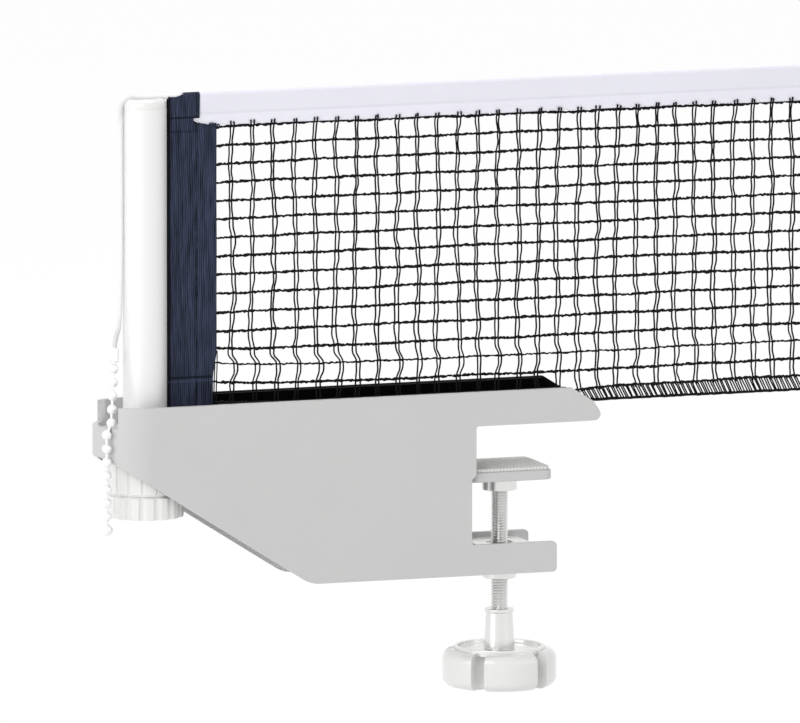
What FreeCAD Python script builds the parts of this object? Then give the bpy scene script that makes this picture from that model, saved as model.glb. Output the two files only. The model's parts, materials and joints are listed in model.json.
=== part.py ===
# Table tennis net clamp: bracket, screw jaw, height-adjustable net post and a stretch of net.
# Millimetres, +Z up. The origin is where the clamp screw's axis meets the table-top seat.
# X runs along the net, towards the table. Y = 0 is the plane of the net.
import FreeCAD
import Part
import Sketcher
import math
import os
import re

# Driving sizes, in millimetres unless the name says degrees or count.
# A drop is measured down from the table-top seat, and a back or reach from the clamp screw's axis.
# On the net and the post's cap a drop is measured down from the cord.
BRACKET_SIZES = {
    "sheet_thickness": 2.5,
    "bracket_width": 41,
    "arm_top": 16,
    "plate_lift": 0.5,
    "throat_back": 18.25,
    "relief_depth": 2.1,
    "relief_drop": 22,
    "relief_slope": 2,
    "throat_drop": 54,
    "bracket_drop": 68,
    "lower_reach": 20.5,
    "nose_flat_reach": 27.75,
    "nose_knee_reach": 38.3,
    "nose_knee_height": 9.4,
    "nose_reach": 44,
    "nose_radius": 3,
    "arm_radius": 2,
    "throat_radius": 1.2,
    "belly_back": 97.75,
    "belly_radius": 14,
    "tail_drop": 6.7,
    "bend_back": 173.75,
    "notch_width": 29.4,
    "notch_floor": 6.3,
    "nick_width": 2,
    "nick_depth": 2.4,
    "trim_margin": 6,
}
JAW_SIZES = {
    "fit_gap": 0.1,
    "press_gap": 0.03,
    "insert_wall": 2.5,
    "insert_floor": 2.4,
    "insert_back": 145.5,
    "insert_flat_reach": 26.3,
    "insert_nose_reach": 38.3,
    "insert_nose_height": 5.2,
    "seat_pad_thickness": 1.5,
    "seat_pad_reach": 36.5,
    "bridge_length": 26,
    "bridge_drop": 56,
    "bridge_depth": 10,
    "nut_diameter": 12,
    "nut_collar_diameter": 15,
    "nut_collar_depth": 6.5,
    "nut_top_margin": 1,
}
HOLDER_SIZES = {
    "post_back": 170.25,
    "holder_top": 4.5,
    "holder_block_reach": 24,
    "holder_diameter": 33,
    "holder_drop": 25,
    "holder_floor": 3,
    "slide_gap": 0.1,
    "fixing_diameter": 3.5,
    "fixing_head_diameter": 7,
    "fixing_length": 8,
    "fixing_spacing": 9.5,
    "fixing_reach": 19.5,
    "fixing_drop": 1.2,
    "fixing_socket_diameter": 2.3,
    "fixing_socket_depth": 1.2,
    "key_length": 7,
    "key_top": 2,
    "key_seat_reach": 13,
    "key_gap": 0.15,
}
POST_SIZES = {
    "post_diameter": 20,
    "post_wall": 1.2,
    "post_foot_drop": 19,
    "cap_drop": 0.2,
    "cap_rim": 4.5,
    "cap_edge_radius": 3,
    "cap_plug_depth": 4,
    "slot_width": 3.2,
    "post_nut_depth": 12,
    "pin_diameter": 3,
    "pin_length": 4.2,
    "height_screw_diameter": 6,
    "height_screw_top_drop": 3,
    "height_screw_foot": 2,
    "height_knob_diameter": 35,
    "height_knob_depth": 10,
    "flute_count": 16,
    "flute_diameter": 4,
    "thrust_washer_thickness": 0.8,
    "thrust_washer_diameter": 16,
    "thrust_washer_gap": 0.2,
    "clip_thickness": 0.8,
    "clip_rise": 0.3,
    "clip_width": 2.5,
    "clip_seat_depth": 0.6,
    "clip_opening": 3,
}
SCREW_SIZES = {
    "screw_diameter": 8,
    "thread_gap": 0.08,
    "jaw_gap": 20,
    "pressure_pad_thickness": 1.5,
    "pressure_pad_inset": 1,
    "pressure_plate_thickness": 4.5,
    "pressure_plate_length": 39.5,
    "jaw_side_gap": 0.3,
    "pressure_corner_radius": 4,
    "cup_diameter": 16,
    "cup_depth": 6,
    "cup_recess_diameter": 13.6,
    "cup_end_gap": 0.2,
    "screw_lip": 0.9,
    "screw_foot_margin": 4,
    "screw_chamfer": 0.6,
    "hub_top_drop": 86.6,
    "hub_top_diameter": 12,
    "hub_foot_diameter": 14,
    "hub_ring_diameter": 13.4,
    "hub_ring_depth": 1.6,
    "star_top_drop": 105,
    "star_depth": 17,
    "star_diameter": 52,
    "star_edge_radius": 4.5,
    "star_gap_count": 5,
    "star_gap_width": 6.5,
    "star_gap_reach": 19.5,
    "star_turn_degrees": 12,
    "dish_diameter": 41,
    "dish_thickness": 1.2,
    "dish_rim_width": 1.6,
    "dish_rim_height": 1.5,
    "dish_sink": 1.5,
}
NET_SIZES = {
    "net_bottom": 5.5,
    "hem_height": 7,
    "hem_thickness": 1.2,
    "tape_width": 14.5,
    "tape_thickness": 1.6,
    "tape_bead_diameter": 3.4,
    "band_gap": 0.9,
    "band_width": 23.2,
    "band_top_width": 15,
    "band_step_drop": 10.5,
    "band_bead_diameter": 4.2,
    "rod_diameter": 5,
    "rod_loop_wall": 1.4,
    "rod_loop_gap": 0.3,
    "rod_foot": 8,
    "rod_top_drop": 9.5,
    "mesh_length": 284.5,
    "mesh_thickness": 1,
    "mesh_row_pitch": 8.5,
    "mesh_column_count": 20,
    "mesh_row_bar": 1.2,
    "mesh_column_bar": 1.6,
}
CORD_SIZES = {
    "cord_diameter": 2.2,
    "cord_height": 155,
    "cord_bend_radius": 4.2,
    "cord_side_gap": 0.3,
    "cord_tail": 3,
    "stop_diameter": 6,
    "stop_length": 5,
    "connector_diameter": 4.2,
    "connector_length": 6,
    "connector_link": 1,
    "connector_lead": 4,
    "ball_diameter": 4.5,
    "ball_pitch": 6.2,
    "end_ball_diameter": 5.4,
    "link_diameter": 1.2,
    "chain_angle_degrees": 34,
    "chain_gap": 0.35,
    "chain_inset": 0.9,
    "inner_ball_count": 5,
    "outer_ball_count": 7,
}
SIZES = {
    **BRACKET_SIZES,
    **JAW_SIZES,
    **HOLDER_SIZES,
    **POST_SIZES,
    **SCREW_SIZES,
    **NET_SIZES,
    **CORD_SIZES,
}

# Two points of the cord's route, chosen by hand: where it leaves the post's side, and what the
# upper part of the ball chain points at.
CORD_LEAVES_POST_HEIGHT = 53
CHAIN_AIM = FreeCAD.Vector(-186.25, -3.6, 36)

UP = FreeCAD.Vector(0, 0, 1)

doc = FreeCAD.newDocument("net_clamp")
sheet = doc.addObject("Spreadsheet::Sheet", "Sizes")
for row_number, (alias_word, number) in enumerate(SIZES.items(), start=1):
    sheet.set("A%d" % row_number, alias_word)
    sheet.set("B%d" % row_number, str(number))
    sheet.setAlias("B%d" % row_number, alias_word)
doc.recompute()


def size(alias):
    """Reads one driving size from the sheet."""
    return float(sheet.get(alias))


def bound(text):
    """Turns the bare size names in an expression into references to the sheet."""
    return re.sub(r"[a-z_]+", lambda found: "Sizes." + found[0] if found[0] in SIZES else found[0], text)


def bind(item, **expressions):
    """Binds properties of an object to expressions; a double underscore stands for a dot."""
    for name, text in expressions.items():
        item.setExpression(name.replace("__", "."), bound(text))


# Places that several pieces share, as expressions

INNER_HALF = "(bracket_width / 2 - sheet_thickness)"
FITTED_HALF = "(bracket_width / 2 - sheet_thickness - fit_gap)"
TAIL = "(-bend_back - bracket_width / 2)"
TUBE_BORE = "(post_diameter / 2 - post_wall)"
CAP_TOP = "(cord_height - cap_drop)"
TUBE_TOP = "(cord_height - cap_drop - cap_rim)"
HOLDER_BASE = "(-holder_drop + holder_floor)"
KNOB_TOP = "(-holder_drop - thrust_washer_thickness)"
FIXING_PLACES = ["(-post_back + fixing_reach - fixing_spacing)", "(-post_back + fixing_reach)"]
PLATE_TOP = "(-jaw_gap - pressure_pad_thickness)"
PLATE_FOOT = "(-jaw_gap - pressure_pad_thickness - pressure_plate_thickness)"
PLATE_HALF = "(bracket_width / 2 - sheet_thickness - jaw_side_gap)"
SCREW_TOP = "(-jaw_gap - pressure_pad_thickness - pressure_plate_thickness - cup_end_gap)"
DISH_BASE = "(-star_top_drop - dish_sink)"
ROD_OFFSET = "(post_diameter / 2 - post_wall - rod_loop_gap - rod_loop_wall - fit_gap - rod_diameter / 2)"
BAND_EDGE = "(post_diameter / 2 + band_gap)"
BAND_END = "(post_diameter / 2 + band_gap + band_width)"
BAND_STEP = "(post_diameter / 2 + band_gap + band_top_width)"
TAPE_BOTTOM = "(cord_height - tape_width)"
BAND_SHOULDER = "(cord_height - band_step_drop)"
ROD_TOP = "(cord_height - rod_top_drop)"
MESH_START = "(-post_back + post_diameter / 2 + band_gap + band_width)"
MESH_FOOT = "(net_bottom + hem_height)"
FAR_POST = "(-post_back + post_diameter + 2 * band_gap + 2 * band_width + mesh_length)"
TUNNEL = "cord_diameter + 2 * fit_gap"


# Helpers for bodies, sketches and features

def new_body(label, along="0"):
    """A body whose own vertical axis stands at the given distance along the net."""
    body = doc.addObject("PartDesign::Body", label)
    body.Label = label
    bind(body, Placement__Base__x=along)
    return body


def origin_item(body, role):
    return next(item for item in body.Origin.OriginFeatures if item.Role == role)


def new_sketch(body, role, name, lift="0"):
    """A sketch on one of the body's origin planes, lifted along the plane's normal."""
    sketch = body.newObject("Sketcher::SketchObject", name)
    sketch.AttachmentSupport = (origin_item(body, role), [""])
    sketch.MapMode = "FlatFace"
    bind(sketch, AttachmentOffset__Base__z=lift)
    return sketch


def hold(sketch, kind, geometry, place, text):
    """Holds one point of the sketch at a signed distance from the sketch's origin."""
    if text == "0":
        axis = -2 if kind == "DistanceX" else -1
        sketch.addConstraint(Sketcher.Constraint("PointOnObject", geometry, place, axis))
        return
    number = sketch.addConstraint(Sketcher.Constraint(kind, -1, 1, geometry, place, 1.0))
    sketch.setExpression("Constraints[%d]" % number, bound(text))


def hold_point(sketch, geometry, place, along, up):
    hold(sketch, "DistanceX", geometry, place, along)
    hold(sketch, "DistanceY", geometry, place, up)


def hold_size(sketch, kind, geometry, text):
    """Holds a radius or a diameter."""
    number = sketch.addConstraint(Sketcher.Constraint(kind, geometry, 5.0))
    sketch.setExpression("Constraints[%d]" % number, bound(text))


def draw_outline(sketch, corners):
    """A closed polygon whose corners are pairs of expressions, started as a rough ring of points."""
    first = sketch.GeometryCount
    count = len(corners)
    ring = []
    for index in range(count):
        angle = 2 * math.pi * index / count
        ring.append(FreeCAD.Vector(math.cos(angle), math.sin(angle), 0))
    for index in range(count):
        sketch.addGeometry(Part.LineSegment(ring[index], ring[(index + 1) % count]))
    for index in range(count):
        following = first + (index + 1) % count
        sketch.addConstraint(Sketcher.Constraint("Coincident", first + index, 2, following, 1))
    for index, (along, up) in enumerate(corners):
        hold_point(sketch, first + index, 1, along, up)


def draw_box(sketch, left, right, low, high):
    draw_outline(sketch, [(left, low), (right, low), (right, high), (left, high)])


def draw_circle(sketch, diameter, along="0", up="0"):
    circle = sketch.addGeometry(Part.Circle(FreeCAD.Vector(1, 1, 0), UP, 5))
    hold_point(sketch, circle, 3, along, up)
    hold_size(sketch, "Diameter", circle, diameter)


def close_outline(sketch, arc, corners):
    """Lines from the arc's end through the corners and back to the arc's start."""
    last = arc
    start = sketch.getPoint(arc, 2)
    for along, up in corners:
        end = start + FreeCAD.Vector(1, 1, 0)
        line = sketch.addGeometry(Part.LineSegment(start, end))
        sketch.addConstraint(Sketcher.Constraint("Coincident", last, 2, line, 1))
        hold_point(sketch, line, 2, along, up)
        last = line
        start = end
    closing = sketch.addGeometry(Part.LineSegment(start, sketch.getPoint(arc, 1)))
    sketch.addConstraint(Sketcher.Constraint("Coincident", last, 2, closing, 1))
    sketch.addConstraint(Sketcher.Constraint("Coincident", closing, 2, arc, 1))


def draw_bend_outline(sketch, rough_centre, centre, radius, corners):
    """A closed outline with a left half circle about the centre, carried on through the corners."""
    rough_radius = size("bracket_width") / 2
    circle = Part.Circle(FreeCAD.Vector(rough_centre, 0, 0), UP, rough_radius)
    arc = sketch.addGeometry(Part.ArcOfCircle(circle, math.pi / 2, 3 * math.pi / 2))
    hold_point(sketch, arc, 3, centre, "0")
    hold(sketch, "DistanceX", arc, 1, centre)
    hold(sketch, "DistanceX", arc, 2, centre)
    hold_size(sketch, "Radius", arc, radius)
    close_outline(sketch, arc, corners)


def pad(body, sketch, length, midplane=False):
    feature = body.newObject("PartDesign::Pad", sketch.Name + "_pad")
    feature.Profile = sketch
    feature.Midplane = midplane
    bind(feature, Length=length)
    return feature


def pocket(body, sketch, length=None, midplane=False, forward=False):
    """A pocket of the given length, or right through without one; forward cuts along the normal."""
    feature = body.newObject("PartDesign::Pocket", sketch.Name + "_pocket")
    feature.Profile = sketch
    feature.Midplane = midplane
    feature.Reversed = forward
    if length is None:
        feature.Type = "ThroughAll"
    else:
        bind(feature, Length=length)
    return feature


def polar_pattern(body, features, count):
    pattern = body.newObject("PartDesign::PolarPattern", features[0].Name + "_pattern")
    pattern.Originals = features
    pattern.Axis = (origin_item(body, "Z_Axis"), [""])
    pattern.Angle = 360
    bind(pattern, Occurrences=count)
    body.Tip = pattern
    return pattern


def nearest_edge(shape, point):
    """The name of the edge whose middle lies nearest to a point."""
    gaps = [edge.CenterOfMass.distanceToPoint(point) for edge in shape.Edges]
    return "Edge%d" % (gaps.index(min(gaps)) + 1)


def fillet(body, base, points, radius, name):
    """Rounds the edges nearest to the points, which are in the body's own frame."""
    doc.recompute()
    feature = body.newObject("PartDesign::Fillet", name)
    feature.Base = (base, [nearest_edge(base.Shape, FreeCAD.Vector(*point)) for point in points])
    bind(feature, Radius=radius)
    return feature


def turned_body(label, outline, along="0"):
    """A round piece, turned about its own vertical axis from an outline of radius and height."""
    body = new_body(label, along)
    sketch = new_sketch(body, "XZ_Plane", label + "_profile")
    draw_outline(sketch, outline)
    feature = body.newObject("PartDesign::Revolution", label + "_turned")
    feature.Profile = sketch
    feature.ReferenceAxis = (sketch, ["V_Axis"])
    feature.Angle = 360
    return body


def ring_body(label, outer, inner, low, high, along="0"):
    """A ring, washer or tube about a vertical axis, from its diameters and end heights."""
    body = new_body(label, along)
    sketch = new_sketch(body, "XY_Plane", label + "_ring", low)
    draw_circle(sketch, outer)
    draw_circle(sketch, inner)
    pad(body, sketch, "%s - %s" % (high, low))
    return body


def clip_body(label, shaft, low, along="0"):
    """An open retaining ring that sits in a shaft's groove."""
    bore = "%s - 2 * clip_seat_depth + 2 * fit_gap" % shaft
    body = ring_body(label, "%s - 2 * clip_seat_depth + 2 * clip_width" % shaft, bore,
                     low, "(%s + clip_thickness)" % low, along)
    opening = new_sketch(body, "XY_Plane", label + "_opening", low)
    draw_box(opening, "-clip_opening / 2", "clip_opening / 2", "0", "%s + clip_width" % shaft)
    pocket(body, opening, midplane=True)
    return body


def plain_box(label, left, right, width, low, high):
    """A rectangular piece centred on the plane of the net."""
    box = doc.addObject("Part::Box", label)
    box.Label = label
    bind(box, Length="%s - %s" % (right, left), Width=width, Height="%s - %s" % (high, low))
    bind(box, Placement__Base__x=left, Placement__Base__y="-(%s) / 2" % width, Placement__Base__z=low)
    return box


def group(label, members):
    """Several like solids that share a name."""
    compound = doc.addObject("Part::Compound", label)
    compound.Label = label
    compound.Links = members
    return compound


def set_shape(label, shape):
    """A piece whose shape comes straight from Part's functions."""
    feature = doc.addObject("Part::Feature", label)
    feature.Label = label
    feature.Shape = shape
    return feature


# The bracket and what is fixed to it

def make_clamp_bracket():
    """One steel sheet bent into a U round the post, with the C-shaped jaw opening in both legs."""
    body = new_body("clamp_bracket")
    side = new_sketch(body, "XZ_Plane", "bracket_side")
    relief = "(-throat_back - relief_depth)"
    draw_outline(side, [
        (TAIL, "arm_top"),
        (TAIL, "-tail_drop"),
        ("-belly_back", "-bracket_drop"),
        ("lower_reach", "-bracket_drop"),
        ("lower_reach", "-throat_drop"),
        (relief, "-throat_drop"),
        (relief, "-relief_drop - relief_slope"),
        ("-throat_back", "-relief_drop"),
        ("-throat_back", "plate_lift"),
        ("nose_reach", "plate_lift"),
        ("nose_knee_reach", "nose_knee_height"),
        ("nose_flat_reach", "arm_top"),
    ])
    block = pad(body, side, "bracket_width", midplane=True)
    round_bracket_corners(body, block)
    far = "nose_reach + trim_margin"
    hollow = new_sketch(body, "XY_Plane", "bracket_hollow")
    draw_bend_outline(hollow, -size("bend_back"), "-bend_back", INNER_HALF,
                      [(far, "-" + INNER_HALF), (far, INNER_HALF)])
    pocket(body, hollow, midplane=True)
    behind = TAIL + " - trim_margin"
    aside = "(bracket_width / 2 + trim_margin)"
    bend = new_sketch(body, "XY_Plane", "bracket_bend")
    scrap = [("-bend_back", "-" + aside), (behind, "-" + aside), (behind, aside), ("-bend_back", aside)]
    draw_bend_outline(bend, -size("bend_back"), "-bend_back", "bracket_width / 2", scrap)
    pocket(body, bend, midplane=True)
    cut_chain_notch(body, behind)
    cut_fixing_holes(body)
    return body


def round_bracket_corners(body, block):
    relief_back = -size("throat_back") - size("relief_depth")
    arms = [(size("lower_reach"), 0, -size("bracket_drop")), (size("lower_reach"), 0, -size("throat_drop"))]
    throat = [(-size("throat_back"), 0, size("plate_lift")), (relief_back, 0, -size("throat_drop"))]
    nose = [(size("nose_reach"), 0, size("plate_lift")),
            (size("nose_knee_reach"), 0, size("nose_knee_height"))]
    belly = [(-size("belly_back"), 0, -size("bracket_drop"))]
    rounded = fillet(body, block, arms, "arm_radius", "arm_corners")
    rounded = fillet(body, rounded, throat, "throat_radius", "throat_corners")
    rounded = fillet(body, rounded, nose, "nose_radius", "nose_corners")
    fillet(body, rounded, belly, "belly_radius", "belly_corner")


def cut_chain_notch(body, behind):
    """The dip in the bend that the ball chain hangs over, with a nick that catches one link."""
    notch = new_sketch(body, "XY_Plane", "chain_notch", "notch_floor")
    draw_box(notch, behind, "-bend_back", "-notch_width / 2", "notch_width / 2")
    pocket(body, notch, "arm_top - notch_floor + trim_margin", forward=True)
    nick = new_sketch(body, "XY_Plane", "chain_nick", "notch_floor - nick_depth")
    angle = "(chain_angle_degrees * 1 deg)"
    inside = "(bracket_width / 2 - 2 * sheet_thickness)"
    outside = "(bracket_width / 2 + sheet_thickness)"
    corners = []
    for radius, across in ((inside, "-"), (outside, "-"), (outside, "+"), (inside, "+")):
        back = "+" if across == "-" else "-"
        along = "-bend_back - %s * cos%s %s nick_width / 2 * sin%s" % (radius, angle, across, angle)
        aside = "-%s * sin%s %s nick_width / 2 * cos%s" % (radius, angle, back, angle)
        corners.append((along, aside))
    draw_outline(nick, corners)
    pocket(body, nick, "nick_depth + trim_margin", forward=True)


def cut_fixing_holes(body):
    """Two countersunk holes in the far leg, for the screws that hold the post's socket."""
    fixings = new_sketch(body, "XZ_Plane", "fixing_holes", "-bracket_width / 2")
    for place in FIXING_PLACES:
        draw_circle(fixings, "fixing_diameter + 2 * fit_gap", place, "-fixing_drop")
    doc.recompute()
    holes = body.newObject("PartDesign::Hole", "countersunk_holes")
    holes.Profile = fixings
    holes.DepthType = "Dimension"
    holes.DrillPoint = "Flat"
    holes.Reversed = True
    holes.HoleCutType = "Countersink"
    holes.HoleCutCountersinkAngle = 90
    bind(holes, Diameter="fixing_diameter + 2 * fit_gap", Depth="sheet_thickness + fit_gap")
    bind(holes, HoleCutDiameter="fixing_head_diameter + 2 * fit_gap")


def make_jaw_insert():
    """A moulded channel between the legs of the upper arm, which the net's hem hangs into."""
    body = new_body("jaw_insert")
    side = new_sketch(body, "XZ_Plane", "insert_side")
    draw_outline(side, [
        ("-insert_back", "seat_pad_thickness"),
        ("insert_nose_reach", "seat_pad_thickness"),
        ("insert_nose_reach", "insert_nose_height"),
        ("insert_flat_reach", "arm_top"),
        ("-insert_back", "arm_top"),
    ])
    pad(body, side, "2 * " + FITTED_HALF, midplane=True)
    channel = new_sketch(body, "YZ_Plane", "insert_channel")
    half = "(%s - insert_wall)" % FITTED_HALF
    draw_box(channel, "-" + half, half, "seat_pad_thickness + insert_floor", "arm_top + trim_margin")
    pocket(body, channel, midplane=True)
    return body


def make_table_pad():
    """The rubber seat that rests on the table top."""
    return plain_box("table_pad", "-throat_back", "seat_pad_reach", "2 * " + FITTED_HALF,
                     "0", "seat_pad_thickness")


def make_lower_bridge():
    """The block that joins the two lower arms and carries the clamp screw's nut."""
    body = new_body("lower_bridge")
    plan = new_sketch(body, "XY_Plane", "bridge_plan", "-bridge_drop - bridge_depth")
    draw_box(plan, "-bridge_length / 2", "bridge_length / 2", "-" + INNER_HALF, INNER_HALF)
    draw_circle(plan, "nut_diameter + 2 * press_gap")
    pad(body, plan, "bridge_depth")
    return body


def make_screw_nut():
    """The flanged nut in the bridge, with its collar below the arms."""
    bore = "screw_diameter / 2 + thread_gap"
    seat = "-bridge_drop - bridge_depth"
    return turned_body("screw_nut", [
        (bore, seat + " - nut_collar_depth"),
        ("nut_collar_diameter / 2", seat + " - nut_collar_depth"),
        ("nut_collar_diameter / 2", seat),
        ("nut_diameter / 2", seat),
        ("nut_diameter / 2", "-bridge_drop - nut_top_margin"),
        (bore, "-bridge_drop - nut_top_margin"),
    ])


def make_post_holder():
    """The post's socket: a block that fills the bend, and a round sleeve below it."""
    body = new_body("post_holder", "-post_back")
    far = "holder_block_reach"
    block = new_sketch(body, "XY_Plane", "holder_block", "-tail_drop")
    draw_bend_outline(block, size("post_back") - size("bend_back"), "(post_back - bend_back)", FITTED_HALF,
                      [(far, "-" + FITTED_HALF), (far, FITTED_HALF)])
    pad(body, block, "holder_top + tail_drop")
    sleeve = new_sketch(body, "XY_Plane", "holder_sleeve", "-holder_drop")
    draw_circle(sleeve, "holder_diameter")
    pad(body, sleeve, "holder_drop")
    bore = new_sketch(body, "XY_Plane", "holder_bore", HOLDER_BASE)
    draw_circle(bore, "post_diameter + 2 * slide_gap")
    pocket(body, bore, "holder_drop + holder_top", forward=True)
    screw_hole = new_sketch(body, "XY_Plane", "height_screw_hole")
    draw_circle(screw_hole, "height_screw_diameter + 2 * thread_gap")
    pocket(body, screw_hole, midplane=True)
    seat = new_sketch(body, "XY_Plane", "key_seat", "key_top - key_length")
    half = "(slot_width / 2 - key_gap)"
    draw_box(seat, "0", "key_seat_reach", "-" + half, half)
    pocket(body, seat, "key_length + holder_top", forward=True)
    fixings = new_sketch(body, "XZ_Plane", "holder_fixings", "-" + FITTED_HALF)
    for place in FIXING_PLACES:
        draw_circle(fixings, "fixing_diameter + 2 * press_gap", place + " + post_back", "-fixing_drop")
    pocket(body, fixings, "fixing_length", forward=True)
    return body


def make_holder_screws():
    """Two countersunk screws through the bracket's far leg into the socket."""
    inward = FreeCAD.Rotation(FreeCAD.Vector(1, 0, 0), 90)
    screws = []
    for number, place in enumerate(FIXING_PLACES, start=1):
        head = doc.addObject("Part::Cone", "fixing_head_%d" % number)
        shank = doc.addObject("Part::Cylinder", "fixing_shank_%d" % number)
        socket = doc.addObject("Part::Prism", "fixing_socket_%d" % number)
        bind(head, Radius1="fixing_head_diameter / 2", Radius2="fixing_diameter / 2",
             Height="(fixing_head_diameter - fixing_diameter) / 2")
        bind(shank, Radius="fixing_diameter / 2", Height="fixing_length")
        bind(socket, Circumradius="fixing_socket_diameter / 2", Height="fixing_socket_depth")
        for piece in (head, shank, socket):
            piece.Placement = FreeCAD.Placement(FreeCAD.Vector(), inward)
            bind(piece, Placement__Base__x=place, Placement__Base__y="bracket_width / 2",
                 Placement__Base__z="-fixing_drop")
        solid = doc.addObject("Part::Fuse", "fixing_blank_%d" % number)
        solid.Base = head
        solid.Tool = shank
        screw = doc.addObject("Part::Cut", "fixing_screw_%d" % number)
        screw.Base = solid
        screw.Tool = socket
        screws.append(screw)
    return group("holder_screws", screws)


def make_guide_key():
    """The key in the socket that runs in the post's slot and keeps the post from turning."""
    return plain_box("guide_key", "(-post_back + %s + fit_gap)" % TUBE_BORE,
                     "(-post_back + key_seat_reach - press_gap)", "slot_width - 2 * key_gap - 2 * press_gap",
                     "(key_top - key_length)", "key_top")


def make_thrust_washer():
    bore = "height_screw_diameter + 2 * thrust_washer_gap"
    top = "(-holder_drop)"
    return ring_body("thrust_washer", "thrust_washer_diameter", bore, KNOB_TOP, top, "-post_back")


# The sliding post

def make_post_tube():
    """The slotted tube of the post."""
    body = ring_body("post_tube", "post_diameter", "post_diameter - 2 * post_wall",
                     "(-post_foot_drop)", TUBE_TOP, "-post_back")
    slot = new_sketch(body, "YZ_Plane", "post_slot")
    draw_box(slot, "-slot_width / 2", "slot_width / 2",
             "-post_foot_drop - trim_margin", TUBE_TOP + " + trim_margin")
    pocket(body, slot, "post_diameter", forward=True)
    pins = new_sketch(body, "XZ_Plane", "post_pin_holes")
    draw_circle(pins, "pin_diameter + 2 * press_gap", "0", "-post_foot_drop + post_nut_depth / 2")
    pocket(body, pins, midplane=True)
    return body


def make_post_cap():
    """The plug in the tube's top, with a slot that carries the cord over its rounded edge."""
    plug_foot = TUBE_TOP + " - cap_plug_depth"
    plug_radius = TUBE_BORE + " - press_gap"
    body = turned_body("post_cap", [
        ("0", plug_foot),
        (plug_radius, plug_foot),
        (plug_radius, TUBE_TOP),
        ("post_diameter / 2", TUBE_TOP),
        ("post_diameter / 2", CAP_TOP),
        ("0", CAP_TOP),
    ], "-post_back")
    top = size("cord_height") - size("cap_drop")
    fillet(body, body.Tip, [(0, 0, top)], "cap_edge_radius", "cap_edge")
    slot = new_sketch(body, "XZ_Plane", "cord_slot")
    draw_cord_slot(slot)
    pocket(body, slot, TUNNEL, midplane=True)
    return body


def draw_cord_slot(slot):
    """What the slot takes off the cap: all above a line that runs level, then bends down round the edge."""
    radius = size("cord_bend_radius")
    middle = FreeCAD.Vector(-size("post_diameter") / 2, size("cord_height") - radius, 0)
    arc = slot.addGeometry(Part.ArcOfCircle(Part.Circle(middle, UP, radius), math.pi / 2, math.pi))
    centre = "(-post_diameter / 2 - cord_side_gap - cord_diameter / 2 + cord_bend_radius)"
    low = "(cord_height - cord_bend_radius)"
    inner_radius = "cord_bend_radius - (%s) / 2" % TUNNEL
    hold_point(slot, arc, 3, centre, low)
    hold(slot, "DistanceX", arc, 1, centre)
    hold(slot, "DistanceY", arc, 2, low)
    hold_size(slot, "Radius", arc, inner_radius)
    corners = [
        ("-post_diameter", low),
        ("-post_diameter", "cord_height + trim_margin"),
        ("post_diameter", "cord_height + trim_margin"),
        ("post_diameter", "%s + %s" % (low, inner_radius)),
    ]
    close_outline(slot, arc, corners)


def make_post_nut():
    """The threaded plug in the tube's foot."""
    bore = "height_screw_diameter / 2 + thread_gap"
    outside = TUBE_BORE + " - press_gap"
    body = turned_body("post_nut", [
        (bore, "-post_foot_drop"),
        (outside, "-post_foot_drop"),
        (outside, "-post_foot_drop + post_nut_depth"),
        (bore, "-post_foot_drop + post_nut_depth"),
    ], "-post_back")
    pins = new_sketch(body, "XZ_Plane", "nut_pin_holes")
    draw_circle(pins, "pin_diameter + 2 * press_gap", "0", "-post_foot_drop + post_nut_depth / 2")
    pocket(body, pins, midplane=True)
    return body


def make_post_pins():
    """Two short pins, one from each side, that hold the plug in the tube."""
    pins = []
    for number, (turn, side) in enumerate(((90, ""), (-90, "-")), start=1):
        pin = doc.addObject("Part::Cylinder", "post_pin_%d" % number)
        pin.Placement = FreeCAD.Placement(FreeCAD.Vector(), FreeCAD.Rotation(FreeCAD.Vector(1, 0, 0), turn))
        bind(pin, Radius="pin_diameter / 2", Height="pin_length")
        bind(pin, Placement__Base__x="-post_back", Placement__Base__y=side + "(post_diameter / 2 - fit_gap)",
             Placement__Base__z="-post_foot_drop + post_nut_depth / 2")
        pins.append(pin)
    return group("post_pins", pins)


def make_net_rod(label, along):
    """The rod in the loop at an end of the net."""
    rod = doc.addObject("Part::Cylinder", label)
    rod.Label = label
    bind(rod, Radius="rod_diameter / 2", Height=ROD_TOP + " - rod_foot")
    bind(rod, Placement__Base__x=along, Placement__Base__z="rod_foot")
    return rod


# The height adjuster

def make_height_knob():
    """The fluted knob below the post's socket."""
    body = new_body("height_knob", "-post_back")
    disc = new_sketch(body, "XY_Plane", "height_knob_disc", KNOB_TOP + " - height_knob_depth")
    draw_circle(disc, "height_knob_diameter")
    draw_circle(disc, "height_screw_diameter + 2 * press_gap")
    pad(body, disc, "height_knob_depth")
    flute = new_sketch(body, "XY_Plane", "height_knob_flute")
    draw_circle(flute, "flute_diameter", "height_knob_diameter / 2 + flute_diameter / 4", "0")
    cut = pocket(body, flute, midplane=True)
    polar_pattern(body, [cut], "flute_count")
    return body


def make_height_screw():
    """The screw fixed in the height knob, with a groove for its retaining ring."""
    outside = "height_screw_diameter / 2"
    groove = "height_screw_diameter / 2 - clip_seat_depth"
    low = HOLDER_BASE + " + clip_rise"
    foot = KNOB_TOP + " - height_knob_depth + height_screw_foot"
    return turned_body("height_screw", [
        ("0", foot),
        (outside, foot),
        (outside, low),
        (groove, low),
        (groove, low + " + clip_thickness"),
        (outside, low + " + clip_thickness"),
        (outside, "-height_screw_top_drop"),
        ("0", "-height_screw_top_drop"),
    ], "-post_back")


# The pressure plate, the clamp screw and its knob

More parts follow.
